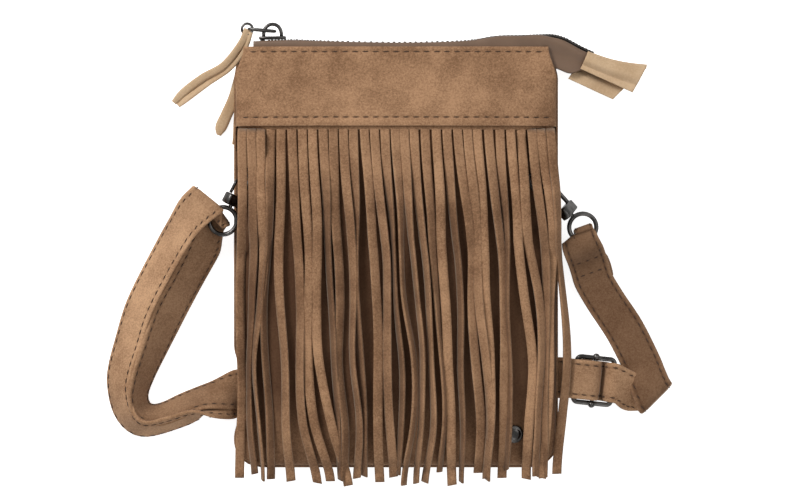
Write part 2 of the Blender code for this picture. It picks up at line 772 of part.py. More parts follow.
LEFT_EYE = Vector((-95.8, 19, 17.4)) * MM
LEFT_CLAW = Vector((-83, 44.2, 18.4)) * MM
RIGHT_EYE = Vector((103.6, 15.4, 15.4)) * MM
RIGHT_CLAW = Vector((84.6, 36.6, 18.4)) * MM
RING_SIDE = 2.8 * MM
TAB_ROOT_DROP = 6.5 * MM
RING_HALF = 6.6 * MM
CLAW_SLACK = 0.9 * MM
CLAW_TOP = EYE_TO_CLAW + WIRE + CLAW_SLACK + CLAW_WIRE
BASE_START = 9.6 * MM
BASE_LENGTH = 6.2 * MM
BASE_SIZE = 7.4 * MM
STEM_END = 13.2 * MM
GATE_WIRE = 0.9 * MM
GATE_FOOT = BASE_START + BASE_LENGTH + FIT


def hook_frame(eye, claw):
    """X from the eye to the claw, Y across the claw's opening, Z out of the hook's plane."""
    along = (claw - eye).normalized()
    level = Vector((0, 0, 1)).cross(along).normalized()
    up = along.cross(level)
    roll = math.radians(CLAW_ROLL)
    across = level * math.cos(roll) + up * math.sin(roll)
    out = along.cross(across)
    return Matrix.Translation(eye) @ Matrix((along, across, out)).transposed().to_4x4()


def make_hook(side, eye, claw):
    frame = hook_frame(eye, claw)
    bend = CLAW_TOP - CLAW_HALF
    path = [Vector((BASE_START + BASE_LENGTH / 2, -CLAW_HALF, 0)), Vector((bend, -CLAW_HALF, 0))]
    for step in range(1, 9):
        turn = -math.pi / 2 + math.pi * step / 8
        path.append(Vector((bend + CLAW_HALF * math.cos(turn), CLAW_HALF * math.sin(turn), 0)))
    claw_mesh = as_mesh(wire(f"claw_{side}", [frame @ spot for spot in path], CLAW_WIRE, METAL), f"claw_wire_{side}")
    base_size = (BASE_LENGTH, 2 * CLAW_HALF + 2 * CLAW_WIRE, BASE_SIZE * 0.62)
    base_place = frame @ Matrix.Translation((BASE_START + BASE_LENGTH / 2, 0, 0))
    hook = block(f"hook_{side}", base_size, base_place, METAL, 0.6 * MM)
    combine(hook, claw_mesh, "UNION")
    hole_length = STEM_END - BASE_START + 2 * FIT
    hole = rod(f"stem_hole_{side}", WIRE + FIT, 2 * hole_length,
               frame @ Matrix.Translation((BASE_START, 0, 0)) @ Matrix.Rotation(math.pi / 2, 4, "Y"), METAL, 16)
    combine(hook, hole, "DIFFERENCE")
    gate_end = bend - GATE_WIRE - 2 * FIT - CLAW_WIRE
    gate = [frame @ Vector((GATE_FOOT, CLAW_HALF, 0)), frame @ Vector((gate_end, CLAW_HALF, 0))]
    wire(f"hook_gate_{side}", gate, GATE_WIRE, METAL)


def make_eye(side, eye, claw):
    """The ring that the strap is looped through, with the stem that turns in the hook's base."""
    frame = hook_frame(eye, claw)
    along = (frame.to_3x3() @ Vector((1, 0, 0))).normalized()
    level = Vector((0, 0, 1)).cross(along).normalized()
    ring = as_mesh(wire(f"ring_{side}", ring_points(eye, along, level, RING_RADIUS, 28), WIRE, METAL, closed=True),
                   f"strap_ring_{side}")
    ring.data.materials.clear()
    ring.data.materials.append(METAL)
    stem_length = STEM_END - RING_RADIUS
    stem = rod(f"ring_stem_{side}", WIRE, stem_length,
               Matrix.Translation(eye + along * (RING_RADIUS + stem_length / 2))
               @ along.to_track_quat("Z", "X").to_matrix().to_4x4(), METAL, 12)
    combine(ring, stem, "UNION")


def ring_middle(eye, claw):
    """The D-ring's round end is centred up the hook's line from where the claw pulls on it."""
    way = claw - eye
    way.z = 0
    return claw + way.normalized() * RING_HALF


def make_d_ring(side, middle):
    """A D-ring whose straight bar lies across the bag in its tab."""
    bar = Vector((0, RING_SIDE, 0))
    points = [middle + bar - Vector((RING_HALF, 0, 0)), middle + bar + Vector((RING_HALF, 0, 0))]
    for step in range(13):
        turn = -math.pi * step / 12
        points.append(middle + Vector((math.cos(turn), math.sin(turn), 0)) * RING_HALF)
    wire(f"d_ring_{side}", points, WIRE, METAL, closed=True)


def make_ring_tab(side, middle):
    """A suede loop from below the band's seam, round the D-ring's bar and back."""
    bar_y = middle.y + RING_SIDE
    reach = WIRE + FIT + TAB / 2
    root_y = BAND_FOOT_Y - TAB_ROOT_DROP
    high_side = math.copysign(abs(middle.x) - TAB_WIDTH / 2, middle.x)
    ground = panel_z(high_side, root_y) + 3 * FIT + TAB / 2
    halfway = mix(root_y, bar_y, 0.5)
    path = [Vector((0, root_y, ground + TAB + FIT)), Vector((0, halfway, middle.z + reach))]
    for step in range(9):
        turn = math.pi / 2 + math.pi * step / 8
        path.append(Vector((0, bar_y + reach * math.cos(turn), middle.z + reach * math.sin(turn))))
    path.append(Vector((0, halfway, middle.z - reach)))
    path.append(Vector((0, root_y, ground)))
    bm = bmesh.new()
    bmesh.ops.create_grid(bm, x_segments=1, y_segments=len(path) - 1, size=0.5)
    for vert in bm.verts:
        spot = path[round((vert.co.y + 0.5) * (len(path) - 1))]
        vert.co = (middle.x + vert.co.x * TAB_WIDTH, spot.y, spot.z)
    thicken(add_mesh(f"ring_tab_{side}", bm, SUEDE), TAB, 0)


for hook_side, hook_eye, hook_claw in (("left", LEFT_EYE, LEFT_CLAW), ("right", RIGHT_EYE, RIGHT_CLAW)):
    make_hook(hook_side, hook_eye, hook_claw)
    make_eye(hook_side, hook_eye, hook_claw)
    make_d_ring(hook_side, ring_middle(hook_eye, hook_claw))
    make_ring_tab(hook_side, ring_middle(hook_eye, hook_claw))


# Stud


def make_stud():
    """A round rivet head on the front panel, near the bottom right."""
    middle = Vector((STUD_X, STUD_Y, 0))
    step = 1 * MM
    slope_x = (panel_z(middle.x + step, middle.y) - panel_z(middle.x - step, middle.y)) / (2 * step)
    slope_y = (panel_z(middle.x, middle.y + step) - panel_z(middle.x, middle.y - step)) / (2 * step)
    normal = Vector((-slope_x, -slope_y, 1)).normalized()
    middle.z = panel_z(middle.x, middle.y)
    place = Matrix.Translation(middle + normal * FIT * 1.5) @ normal.to_track_quat("Z", "X").to_matrix().to_4x4()
    height = STUD_RADIUS * 0.32
    profile = [(0, height), (STUD_RADIUS * 0.6, height * 0.9), (STUD_RADIUS * 0.95, height * 0.5),
               (STUD_RADIUS, height * 0.2), (STUD_RADIUS, 0), (0, 0)]
    turned("stud", profile, place, METAL)


make_stud()


# Strap and adjuster

WRAP = WIRE + FIT + STRAP / 2
FLOOR_LAYER = STRAP / 2 + 0.1 * MM
UPPER_LAYER = FLOOR_LAYER + STRAP + FIT
ADJUSTER = Vector((110.3, -70, 0)) * MM
ADJUSTER_HEADING = -6
ADJUSTER_REACH = 10.5 * MM
ADJUSTER_Z = UPPER_LAYER + WRAP
NECK = 0.4
RING_WRAP = WRAP + 0.5 * MM


def turn_rows(x, y, z, way, first, last, heading, lean, radius, share=1.0, steps=4):
    """Rows round a fold: its middle, the plan direction it bulges to, and its start and end angle."""
    rows = []
    for step in range(steps + 1):
        turn = math.radians(mix(first, last, step / steps))
        out = radius * math.cos(turn)
        rows.append((x + way[0] * out / MM, y + way[1] * out / MM, z + radius * math.sin(turn) / MM,
                     heading, lean, share))
    return rows


def right_ring_rows():
    """The strap's sewn end: a turned-back layer, the gathered loop in the ring, the upper layer."""
    eye = RIGHT_EYE / MM
    way = (0.25, -0.968)
    heading = 14

    def at(distance, z, share):
        return (eye.x + way[0] * distance, eye.y + way[1] * distance, z, heading, 0, share)

    step = (STRAP + FIT) / MM
    low = FLOOR_LAYER / MM
    rows = [at(31, low, 1), at(25, low + 1.4, 1), at(19, low + 4.4, 0.9), at(13, eye.z - 5, 0.6)]
    middle = at(3.6, eye.z - 0.8, NECK)
    rows += turn_rows(middle[0], middle[1], middle[2], (-way[0], -way[1]), -90, 90, heading, 0, RING_WRAP, NECK)
    rows += [at(9.8, eye.z + 2.4, 0.5), at(14, eye.z + 0.4, 0.66), at(19, low + 4.8 + step, 0.9), at(25, low + 1.6 + step, 1),
             at(31, low + step, 1), at(39, low + 0.8, 1)]
    return rows


def adjuster_row(along, z, lean, turn=0):
    heading = math.radians(ADJUSTER_HEADING)
    return (ADJUSTER.x / MM + along * math.cos(heading), ADJUSTER.y / MM + along * math.sin(heading), z,
            90 + ADJUSTER_HEADING, lean)


def strap_rows():
    """The whole strap: right ring, adjuster, behind the bag, left ring and back to the adjuster's bar."""
    low = FLOOR_LAYER / MM
    up = UPPER_LAYER / MM
    over = (ADJUSTER_Z + WRAP) / MM
    fold = 2.2
    rows = right_ring_rows()
    rows += [(117.5, -25, low, 28, 0), (127, -41, low, 28, 0), (136.5, -60, low + 1, 27, 0),
             (141, -71, low + 2 * fold, 34, 0, 1.04)]
    rows += turn_rows(144, -78.4, low + fold, (0.707, -0.707), 90, -90, 45, 0, fold * MM, 1.12)
    rows += [(134.5, -77.4, low + 0.6, 62, 0), (127.6, -74.6, low + 4.6, 76, 0)]
    rows += [adjuster_row(12.4, over - 0.8, 0), adjuster_row(10.4, over, 0), adjuster_row(8.2, over - 0.9, 0),
             adjuster_row(6.8, over - 4.2, 0), adjuster_row(5.6, low + 1.2, 0), adjuster_row(3.2, low, 0),
             adjuster_row(-10, low, 0)]
    rows += [(80, -69.5, low, 88, 0), (40, -71, low, 88, 0), (0, -73, low, 88, 0), (-40, -75, low, 89, 0),
             (-74, -76.5, low, 90, 0), (-87.5, -79.5, low, 92, 0), (-95, -84.5, 7.4, 94, -36),
             (-102.5, -89, 11.6, 96, -66), (-112, -93, 12.6, 94, -84), (-125.4, -97, 12.6, 88, -92),
             (-138, -98.8, 12.6, 70, -98), (-146, -95.8, 12.3, 46, -105), (-152, -87.5, 11.7, 20, -114),
             (-155.2, -77, 10.8, -4, -125), (-154.8, -66, 10, -12, -131), (-151, -50, 9.6, -18, -135),
             (-144.3, -28, 9.4, -30, -138), (-129, 0.6, 11.4, -42, -142), (-118.5, 16.5, 17, -40, -158), (-110.5, 25.2, 22.2, -39, -172)]
    eye = LEFT_EYE / MM
    hem = WIRE + 2 * FIT + STRAP
    hem_z = (eye.z * MM + hem + STRAP / 2 + FIT) / MM
    rows += turn_rows(-104.4, 30.2, hem_z, (0.626, 0.78), 90, -90, -39, -180, (STRAP + FIT) / 2)
    rows += [(-102.9, 25.4, hem_z - 1.6, -52, -180, 0.78)]
    rows += turn_rows(eye.x - 3.8, eye.y - 1.2, eye.z, (0.95, 0.31), 90, -90, -72, -180, RING_WRAP, NECK)
    rows += [(-104.2, 14.6, 13, -60, -190, 0.66), (-106.6, 8, 10.6, -48, -200, 0.9),
             (-109.4, -2, 9.4, -44, -208), (-115.4, -16, 8.4, -42, -213), (-124, -32.8, 8, -38, -212),
             (-131.2, -52, 9.6, -24, -229), (-137.6, -68, 10.8, -14, -240), (-139.6, -78, 11.4, 0, -246),
             (-137.4, -84, 11.2, 30, -244), (-131, -85.4, 10.2, 72, -234), (-121, -83, 10.4, 92, -234),
             (-110, -79.9, 10.6, 96, -236), (-101.5, -77.6, 10.2, 95, -228), (-94.5, -76, 8.2, 94, -208),
             (-87, -74.6, up, 92, -180), (-72, -74.2, up, 90, -180), (-40, -73.5, up, 89, -180),
             (0, -72, up, 88, -180), (40, -70.5, up, 88, -180), (80, -69, up, 86, -180)]
    rows += [adjuster_row(-20, up + 0.4, -180), adjuster_row(-13.6, over - 1.4, -180),
             adjuster_row(-10.5, over, -180), adjuster_row(-4, over, -180)]
    for turn in (90, 45, 0, -45, -90):
        angle = math.radians(turn)
        rows.append(adjuster_row(WRAP / MM * math.cos(angle), (ADJUSTER_Z + WRAP * math.sin(angle)) / MM, -180))
    rows += [adjuster_row(-8.2, up, -180)]
    return rows


def make_strap():
    rows = strap_rows()
    ribbon("strap", rows, STRAP_WIDTH, STRAP, SUEDE, 2 * (len(rows) - 1), columns=2)


def make_adjuster():
    """A flat frame with a centre bar whose round ends stand past it."""
    heading = math.radians(ADJUSTER_HEADING)
    along = Vector((math.cos(heading), math.sin(heading), 0))
    across = Vector((-along.y, along.x, 0))
    middle = ADJUSTER.copy()
    middle.z = ADJUSTER_Z
    side = STRAP_WIDTH / 2 + 2 * FIT + WIRE
    corner = 2.4 * MM
    points = []
    for x_way, y_way, first in ((1, 1, 0), (-1, 1, 90), (-1, -1, 180), (1, -1, 270)):
        for step in range(4):
            turn = math.radians(first + 30 * step)
            x = x_way * (ADJUSTER_REACH - corner) + corner * math.cos(turn)
            y = y_way * (side - corner) + corner * math.sin(turn)
            points.append(middle + along * x + across * y)
    frame = as_mesh(wire("adjuster_wire", points, WIRE, METAL, closed=True), "adjuster")
    frame.data.materials.clear()
    frame.data.materials.append(METAL)
    bar_half = side + 1.6 * MM
    turn = across.to_track_quat("Z", "X").to_matrix().to_4x4()
    bar = rod("adjuster_bar", 0.93 * WIRE, 2 * bar_half, Matrix.Translation(middle) @ turn, METAL, 10)
    combine(frame, bar, "UNION")
    for way in (-1, 1):
        bm = bmesh.new()
        bmesh.ops.create_uvsphere(bm, u_segments=12, v_segments=8, radius=1.6 * MM,
                                  matrix=Matrix.Translation(middle + across * (way * bar_half)))
        combine(frame, add_mesh(f"adjuster_knob_{way}", bm, METAL), "UNION")


make_strap()
make_adjuster()
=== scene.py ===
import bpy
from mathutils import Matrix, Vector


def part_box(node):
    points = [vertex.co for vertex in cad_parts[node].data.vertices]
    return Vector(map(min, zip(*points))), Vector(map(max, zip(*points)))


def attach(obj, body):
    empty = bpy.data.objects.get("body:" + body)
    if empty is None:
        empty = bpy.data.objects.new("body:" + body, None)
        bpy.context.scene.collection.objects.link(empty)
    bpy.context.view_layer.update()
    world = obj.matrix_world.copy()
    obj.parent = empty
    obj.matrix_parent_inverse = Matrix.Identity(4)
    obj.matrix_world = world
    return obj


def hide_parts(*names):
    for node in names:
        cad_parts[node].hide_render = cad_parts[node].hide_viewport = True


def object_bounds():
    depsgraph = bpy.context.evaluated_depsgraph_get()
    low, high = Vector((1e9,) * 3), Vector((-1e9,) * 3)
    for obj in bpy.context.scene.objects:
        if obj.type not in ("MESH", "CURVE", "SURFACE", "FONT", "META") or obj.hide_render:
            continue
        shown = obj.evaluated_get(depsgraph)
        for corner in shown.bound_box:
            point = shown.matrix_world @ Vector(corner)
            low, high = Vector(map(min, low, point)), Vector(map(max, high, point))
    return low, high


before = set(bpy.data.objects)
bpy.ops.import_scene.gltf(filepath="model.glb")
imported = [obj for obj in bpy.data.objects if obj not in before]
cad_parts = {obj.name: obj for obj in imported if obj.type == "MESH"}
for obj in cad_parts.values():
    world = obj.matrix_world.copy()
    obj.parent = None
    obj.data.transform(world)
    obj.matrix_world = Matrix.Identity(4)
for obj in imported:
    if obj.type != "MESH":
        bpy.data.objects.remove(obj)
CAD_BOX = [list(corner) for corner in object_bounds()]

import math

import bmesh
import bpy
from mathutils import Matrix, Vector, noise


# Studio
# A photographer's white table seen straight from above, with one large soft lamp at the
# upper left, weaker ones at the right and the foot, and an even white room round it.

MM = 0.001
CAMERA_HEIGHT = 1.6
PHOTO_WIDTH = 448 * MM
PHOTO_MIDDLE = Vector((2.24 * MM, 2.8 * MM, 0))
SENSOR_WIDTH = 36.0
WHITE = (1, 1, 1, 1)
TABLE_WHITE = (0.93, 0.93, 0.93, 1)
TABLE_HALF = 6.0
TABLE_GAP = 0.2 * MM
TABLE_GLOW = 0.8
ROOM_LIGHT = 0.36

camera_data = bpy.data.cameras.new("camera")
camera_data.sensor_width = SENSOR_WIDTH
camera_data.lens = SENSOR_WIDTH * CAMERA_HEIGHT / PHOTO_WIDTH
camera = bpy.data.objects.new("camera", camera_data)
camera.location = PHOTO_MIDDLE + Vector((0, 0, CAMERA_HEIGHT))
bpy.context.scene.collection.objects.link(camera)
bpy.context.scene.camera = camera
bpy.context.scene.view_settings.view_transform = "Standard"


def add_lamp(name, place, size, power):
    lamp = bpy.data.lights.new(name, "AREA")
    lamp.size = size
    lamp.energy = power
    made = bpy.data.objects.new(name, lamp)
    made.location = place
    made.rotation_euler = (-Vector(place)).to_track_quat("-Z", "Y").to_euler()
    bpy.context.scene.collection.objects.link(made)


add_lamp("key_lamp", place=(-0.75, 0.75, 0.95), size=0.5, power=13.0)
add_lamp("fill_lamp", place=(0.9, 0.2, 1.1), size=0.9, power=3.2)
add_lamp("low_lamp", place=(0.1, -1.1, 0.8), size=0.8, power=2.4)


class Sum:
    """A shader socket that Python's own signs work on. Each sum adds its Math node."""

    def __init__(self, tree, value):
        self.tree = tree
        self.value = value

    def math(self, operation, *others):
        return node(self.tree, "ShaderNodeMath", {"operation": operation}, [self, *others])

    def __add__(self, other):
        return self.math("ADD", other)

    def __radd__(self, other):
        return self.math("ADD", other)

    def __sub__(self, other):
        return self.math("SUBTRACT", other)

    def __rsub__(self, other):
        return Sum(self.tree, other).math("SUBTRACT", self)

    def __mul__(self, other):
        return self.math("MULTIPLY", other)

    def __rmul__(self, other):
        return self.math("MULTIPLY", other)

    def clamp(self):
        return node(self.tree, "ShaderNodeClamp", {}, [self])

    def between(self, low, high):
        """0 at low, 1 at high, smooth between."""
        values = {"Value": self, "From Min": low, "From Max": high}
        return node(self.tree, "ShaderNodeMapRange", {"interpolation_type": "SMOOTHSTEP"}, values)


def node(tree, kind, settings, inputs=(), output=0):
    """Adds a node, sets what settings says, then its inputs by place or name. Returns one output."""
    made = tree.nodes.new(kind)
    for name, value in settings.items():
        setattr(made, name, value)
    pairs = inputs.items() if isinstance(inputs, dict) else enumerate(inputs)
    for place, value in pairs:
        value = value.value if isinstance(value, Sum) else value
        if isinstance(value, bpy.types.NodeSocket):
            tree.links.new(value, made.inputs[place])
        elif value is not None:
            made.inputs[place].default_value = value
    return Sum(tree, made.outputs[output])


def new_material(name):
    made = bpy.data.materials.new(name)
    made.use_nodes = True
    return made, made.node_tree, made.node_tree.nodes["Principled BSDF"]


def make_floor():
    """A white sheet, far larger than the view, that glows a little to the camera alone."""
    bm = bmesh.new()
    bmesh.ops.create_grid(bm, x_segments=1, y_segments=1, size=TABLE_HALF)
    bmesh.ops.translate(bm, verts=bm.verts, vec=(0, 0, CAD_BOX[0][2] - TABLE_GAP))
    mesh = bpy.data.meshes.new("floor")
    bm.to_mesh(mesh)
    bm.free()
    made = bpy.data.objects.new("floor", mesh)
    bpy.context.scene.collection.objects.link(made)
    finish, tree, shader = new_material("white_table")
    shader.inputs["Base Color"].default_value = TABLE_WHITE
    shader.inputs["Roughness"].default_value = 0.9
    output = tree.nodes["Material Output"]
    path = tree.nodes.new("ShaderNodeLightPath")
    seen = node(tree, "ShaderNodeMath", {"operation": "MAXIMUM"},
                [path.outputs["Is Glossy Ray"], path.outputs["Is Transmission Ray"]])
    white = node(tree, "ShaderNodeEmission", {}, {"Color": WHITE, "Strength": 1.0})
    blended = node(tree, "ShaderNodeMixShader", {}, [seen, shader.outputs[0], white])
    glow = node(tree, "ShaderNodeEmission", {}, {"Color": WHITE, "Strength": TABLE_GLOW})
    summed = node(tree, "ShaderNodeAddShader", {}, [blended, glow])
    final = node(tree, "ShaderNodeMixShader", {}, [path.outputs["Is Camera Ray"], blended, summed])
    tree.links.new(final.value, output.inputs["Surface"])
    made.data.materials.append(finish)


make_floor()

world = bpy.data.worlds.new("room")
bpy.context.scene.world = world
world.use_nodes = True
room = world.node_tree
sky_path = room.nodes.new("ShaderNodeLightPath")
seen_directly = node(room, "ShaderNodeMath", {"operation": "MAXIMUM"},
                     [sky_path.outputs["Is Camera Ray"], sky_path.outputs["Is Transmission Ray"]])
room_strength = seen_directly * (1 - ROOM_LIGHT) + ROOM_LIGHT
room.links.new(room_strength.value, room.nodes["Background"].inputs["Strength"])
room.nodes["Background"].inputs["Color"].default_value = WHITE


# Suede body
# Front and back are cut from one tan cow suede and sewn edge to edge at the sides and the foot.
# The back lies flat on the table; the front is domed by what fills the bag.

SUEDE_LIGHT = (0.46, 0.263, 0.144)
SUEDE_DARK = (0.205, 0.106, 0.054)
# The deep brown that painted shade darkens suede towards.
PAINTED_SHADE_BROWN = (0.060, 0.024, 0.011)


MIX_FACTOR, MIX_FIRST, MIX_SECOND, MIX_RESULT = 0, 6, 7, 2


def mix_colour(tree, share, first, second):
    """Mixes two colours, each a triple or a socket, whose sockets share their names with others."""
    first, second = [value if isinstance(value, Sum) else (*value, 1) for value in (first, second)]
    values = {MIX_FACTOR: share, MIX_FIRST: first, MIX_SECOND: second}
    return node(tree, "ShaderNodeMix", {"data_type": "RGBA"}, values, MIX_RESULT)


def feed(tree, shader, **sockets):
    """Links sums into the shader's sockets; an underscore stands for a space."""
    for name, value in sockets.items():
        tree.links.new(value.value, shader.inputs[name.replace("_", " ")])


def object_place(tree):
    return node(tree, "ShaderNodeTexCoord", {}, output="Object")


def noise_at(tree, place, scale, detail=3.0, roughness=0.5):
    settings = {"noise_dimensions": "3D"}
    values = {"Vector": place, "Scale": scale, "Detail": detail, "Roughness": roughness}
    return node(tree, "ShaderNodeTexNoise", settings, values)


def bump_of(tree, height, strength, distance):
    return node(tree, "ShaderNodeBump", {}, {"Strength": strength, "Distance": distance, "Height": height})


def suede(name, light, dark, with_painted_light=False, nap=1.0):
    """Napped leather: fine fibres, brushed patches lighter and darker, a soft sheen."""
    made, tree, shader = new_material(name)
    place = object_place(tree)
    fibres = noise_at(tree, place, scale=2300, detail=2, roughness=0.6)
    grain = noise_at(tree, place, scale=900, detail=3, roughness=0.6)
    brushed = noise_at(tree, place, scale=70, detail=4, roughness=0.55)
    patches = noise_at(tree, place, scale=16, detail=2, roughness=0.5)
    share = (grain - 0.5) * 1.8 * nap + (fibres - 0.5) * 1.3 * nap + brushed.between(0.3, 0.7) * 0.45
    share = (share + patches.between(0.35, 0.65) * 0.42 + 0.04).clamp()
    colour = mix_colour(tree, share, dark, light)
    # Where asked, a float attribute on the piece darkens the colour towards the deep brown where it is low:
    # painted shade, full colour at 1.
    if with_painted_light:
        painted_light = node(tree, "ShaderNodeAttribute", {"attribute_name": "painted_light"}, output="Fac")
        colour = mix_colour(tree, painted_light, PAINTED_SHADE_BROWN, colour)
    height = grain * 0.6 + fibres * 0.4 + brushed * 0.5
    normal = bump_of(tree, height, strength=0.55, distance=0.25 * MM)
    feed(tree, shader, Base_Color=colour, Normal=normal)
    shader.inputs["Roughness"].default_value = 0.92
    shader.inputs["Specular IOR Level"].default_value = 0.18
    shader.inputs["Sheen Weight"].default_value = 0.22
    shader.inputs["Sheen Roughness"].default_value = 0.45
    shader.inputs["Sheen Tint"].default_value = (1.0, 0.86, 0.70, 1)
    return made


TAN = suede("tan_suede", SUEDE_LIGHT, SUEDE_DARK)

BACK_LOW, BACK_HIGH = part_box("back_panel")
BAND_LOW, BAND_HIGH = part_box("front_band")
HALF = (BACK_HIGH.x - BACK_LOW.x) / 2
MOUTH_Y = BAND_HIGH.y
BOTTOM_Y = BACK_LOW.y
BAND_FOOT_Y = BAND_LOW.y
CORNER_RADIUS = 14 * MM
SHOULDER_INSET = 4.5 * MM
SHOULDER_LENGTH = 18 * MM
SQUEEZE_Y = -76 * MM
SQUEEZE = 8 * MM
SQUEEZE_REACH = 26 * MM
PANEL = 1.2 * MM
BAND = 1.5 * MM
FRINGE = 1.2 * MM
FIT = 0.3 * MM
LAYERS = FIT + FRINGE + FIT
SEAM_Z = 9.6 * MM
SEAM_LIP = 1.0 * MM
MOUTH_RISE = 7.0 * MM
BELLY_RISE = 12.5 * MM
BELLY_LENGTH = 75 * MM
FOOT_LENGTH = 45 * MM
LEAST_RISE = 0.4 * MM
CROWN_POWER = 3
HOOK_X = 83 * MM
HOOK_Y = 41 * MM
HOOK_DENT = 5.2 * MM
HOOK_DENT_FLAT = (7 * MM, 20 * MM)
HOOK_DENT_FALL = (12 * MM, 10 * MM)
STRAP = 2.8 * MM
STRAP_LIFT = 2 * STRAP + 3 * FIT
LIFT_START_Y = -22 * MM
LIFT_FULL_Y = -58 * MM
BACK_FOOT_LENGTH = 20 * MM
BACK_FLATNESS = 1.35
CORNER_OPENING = 5.0 * MM
CORNER_OPENING_LENGTH = 12 * MM
CORNER_OPENING_DEPTH = 27 * MM
PANEL_LAP = 12 * MM
LAP_START = 16 * MM
LAP_LENGTH = 12 * MM
SIDE_CROWDING = 0.55
NOISE_SLICE = 3.7
PANEL_WRINKLE = 0.5 * MM
PANEL_WRINKLE_SCALE = 45
PANEL_COLUMNS = 110
PANEL_ROWS = 130


def smoothstep(value):
    """0 up to 0, 1 from 1 on, smooth between."""
    value = min(1.0, max(0.0, value))
    return value * value * (3 - 2 * value)


def bump(value):
    """1 at 0, 0 from 1 on at either side."""
    return 1 - smoothstep(abs(value))


def hill(value, flat, fall):
    """1 within flat of 0, falling to 0 over fall."""
    return 1 - smoothstep((abs(value) - flat) / fall)


def mix(a, b, share):
    return a + (b - a) * share


def half_width(y, side):
    """Half the bag's width at a height, pressed in on the left where the strap goes under."""
    width = HALF
    below = BOTTOM_Y + CORNER_RADIUS - y
    if below > 0:
        width -= CORNER_RADIUS - math.sqrt(max(CORNER_RADIUS ** 2 - min(below, CORNER_RADIUS) ** 2, 0))
    width -= SHOULDER_INSET * smoothstep((y - MOUTH_Y + SHOULDER_LENGTH) / SHOULDER_LENGTH)
    if side < 0:
        width -= SQUEEZE * bump((y - SQUEEZE_Y) / SQUEEZE_REACH)
    return width


def lap_inset(y):
    """How far the front panel stays inside the band's edge, beside the fringe's uncut head."""
    return (BAND + LAYERS) * smoothstep((y - BAND_FOOT_Y + LAP_START) / LAP_LENGTH)


def crown(x, y, inset=0.0):
    """1 over the bag's middle, 0 at its side seams, full between."""
    share = min(1.0, abs(x) / (half_width(y, x) - inset))
    return math.sqrt(1 - share ** CROWN_POWER)


def foot(y, length):
    """1 over the bag, 0 at its foot."""
    share = min(1.0, max(0.0, (BOTTOM_Y + length - y) / length))
    return math.sqrt(1 - share ** CROWN_POWER)


def front_z(x, y, inset=0.0, cover=0.0):
    """Height of the bag's front, or of what lies over it."""
    rise = mix(MOUTH_RISE, BELLY_RISE, smoothstep((MOUTH_Y - y) / BELLY_LENGTH))
    dent = HOOK_DENT * hill(abs(x) - HOOK_X, HOOK_DENT_FLAT[0], HOOK_DENT_FALL[0])
    dent *= hill(y - HOOK_Y, HOOK_DENT_FLAT[1], HOOK_DENT_FALL[1])
    height = rise * crown(x, y, inset) * foot(y, FOOT_LENGTH)
    return SEAM_Z + SEAM_LIP + cover + max(height - dent, LEAST_RISE * crown(x, y, inset))


def panel_z(x, y):
    """Height of the front panel without its wrinkles."""
    return front_z(x, y, lap_inset(y))


def back_z(x, y):
    """Height of the bag's back, which lifts off the table over the two layers of strap."""
    lift = STRAP_LIFT * smoothstep((LIFT_START_Y - y) / (LIFT_START_Y - LIFT_FULL_Y))
    return mix(SEAM_Z - SEAM_LIP, lift, min(1.0, BACK_FLATNESS * crown(x, y) * foot(y, BACK_FOOT_LENGTH)))


def corner_gap(y):
    """How far front and back stand apart at the mouth's corners."""
    return CORNER_OPENING * smoothstep((y - MOUTH_Y + CORNER_OPENING_DEPTH) / CORNER_OPENING_LENGTH)


def spread(share):
    """Columns that crowd towards the sides, where the surface turns most."""
    return SIDE_CROWDING * math.sin(share * math.pi / 2) + (1 - SIDE_CROWDING) * share


def wrinkle(x, y, depth, scale):
    """Gentle dents of handled leather."""
    return depth * noise.noise(Vector((x * scale, y * scale, NOISE_SLICE)))


def add_piece(name, bm, finish, body, nodes=()):
    """Puts a bmesh in the scene as one finished piece."""
    mesh = bpy.data.meshes.new(name)
    bm.to_mesh(mesh)
    bm.free()
    mesh.shade_smooth()
    made = bpy.data.objects.new(name, mesh)
    bpy.context.scene.collection.objects.link(made)
    mesh.materials.append(finish)
    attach(made, body)
    if nodes:
        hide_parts(*nodes)
    return made


def wall(made, thickness, side):
    """Gives a sheet its thickness. side is -1 inwards, 0 both ways."""
    modifier = made.modifiers.new("wall", "SOLIDIFY")
    modifier.thickness = thickness
    modifier.offset = side
    modifier.use_even_offset = True
    modifier.use_quality_normals = True
    return made


def shell(top_y, bottom_y, height, inset, rim_z, columns, rows, open_foot=False):
    """A sewn panel over height(x, y), turned in along its seam."""
    bm = bmesh.new()
    bmesh.ops.create_grid(bm, x_segments=columns, y_segments=rows, size=1)
    for vert in bm.verts:
        y = mix(bottom_y, top_y, (vert.co.y + 1) / 2)
        x = spread(vert.co.x) * (half_width(y, vert.co.x) - inset(y))
        vert.co = (x, y, height(x, y))
    rim = []
    for edge in bm.edges:
        heights = [vert.co.y for vert in edge.verts]
        at_mouth = min(heights) > top_y - FIT
        at_open_foot = open_foot and max(heights) < bottom_y + FIT
        if edge.is_boundary and not at_mouth and not at_open_foot:
            rim.append(edge)
    extruded = bmesh.ops.extrude_edge_only(bm, edges=rim)
    for item in extruded["geom"]:
        if isinstance(item, bmesh.types.BMVert):
            item.co.z = rim_z(item.co.y)
    return bm


def no_inset(y):
    return 0.0


def front_panel_z(x, y):
    inside = crown(x, y, lap_inset(y)) * foot(y, FOOT_LENGTH)
    return panel_z(x, y) + wrinkle(x, y, PANEL_WRINKLE, PANEL_WRINKLE_SCALE) * inside


# The front panel's colour is painted darker under the fringe, a painted shade where the strips shadow it, and
# lighter towards its foot, which lies open to the light.
FRONT = suede("front_suede_shaded", SUEDE_LIGHT, SUEDE_DARK, with_painted_light=True)
SHADED_TONE = 0.17
LIT_TONE = 0.66
LIT_Y = -72 * MM
LIT_LENGTH = 40 * MM

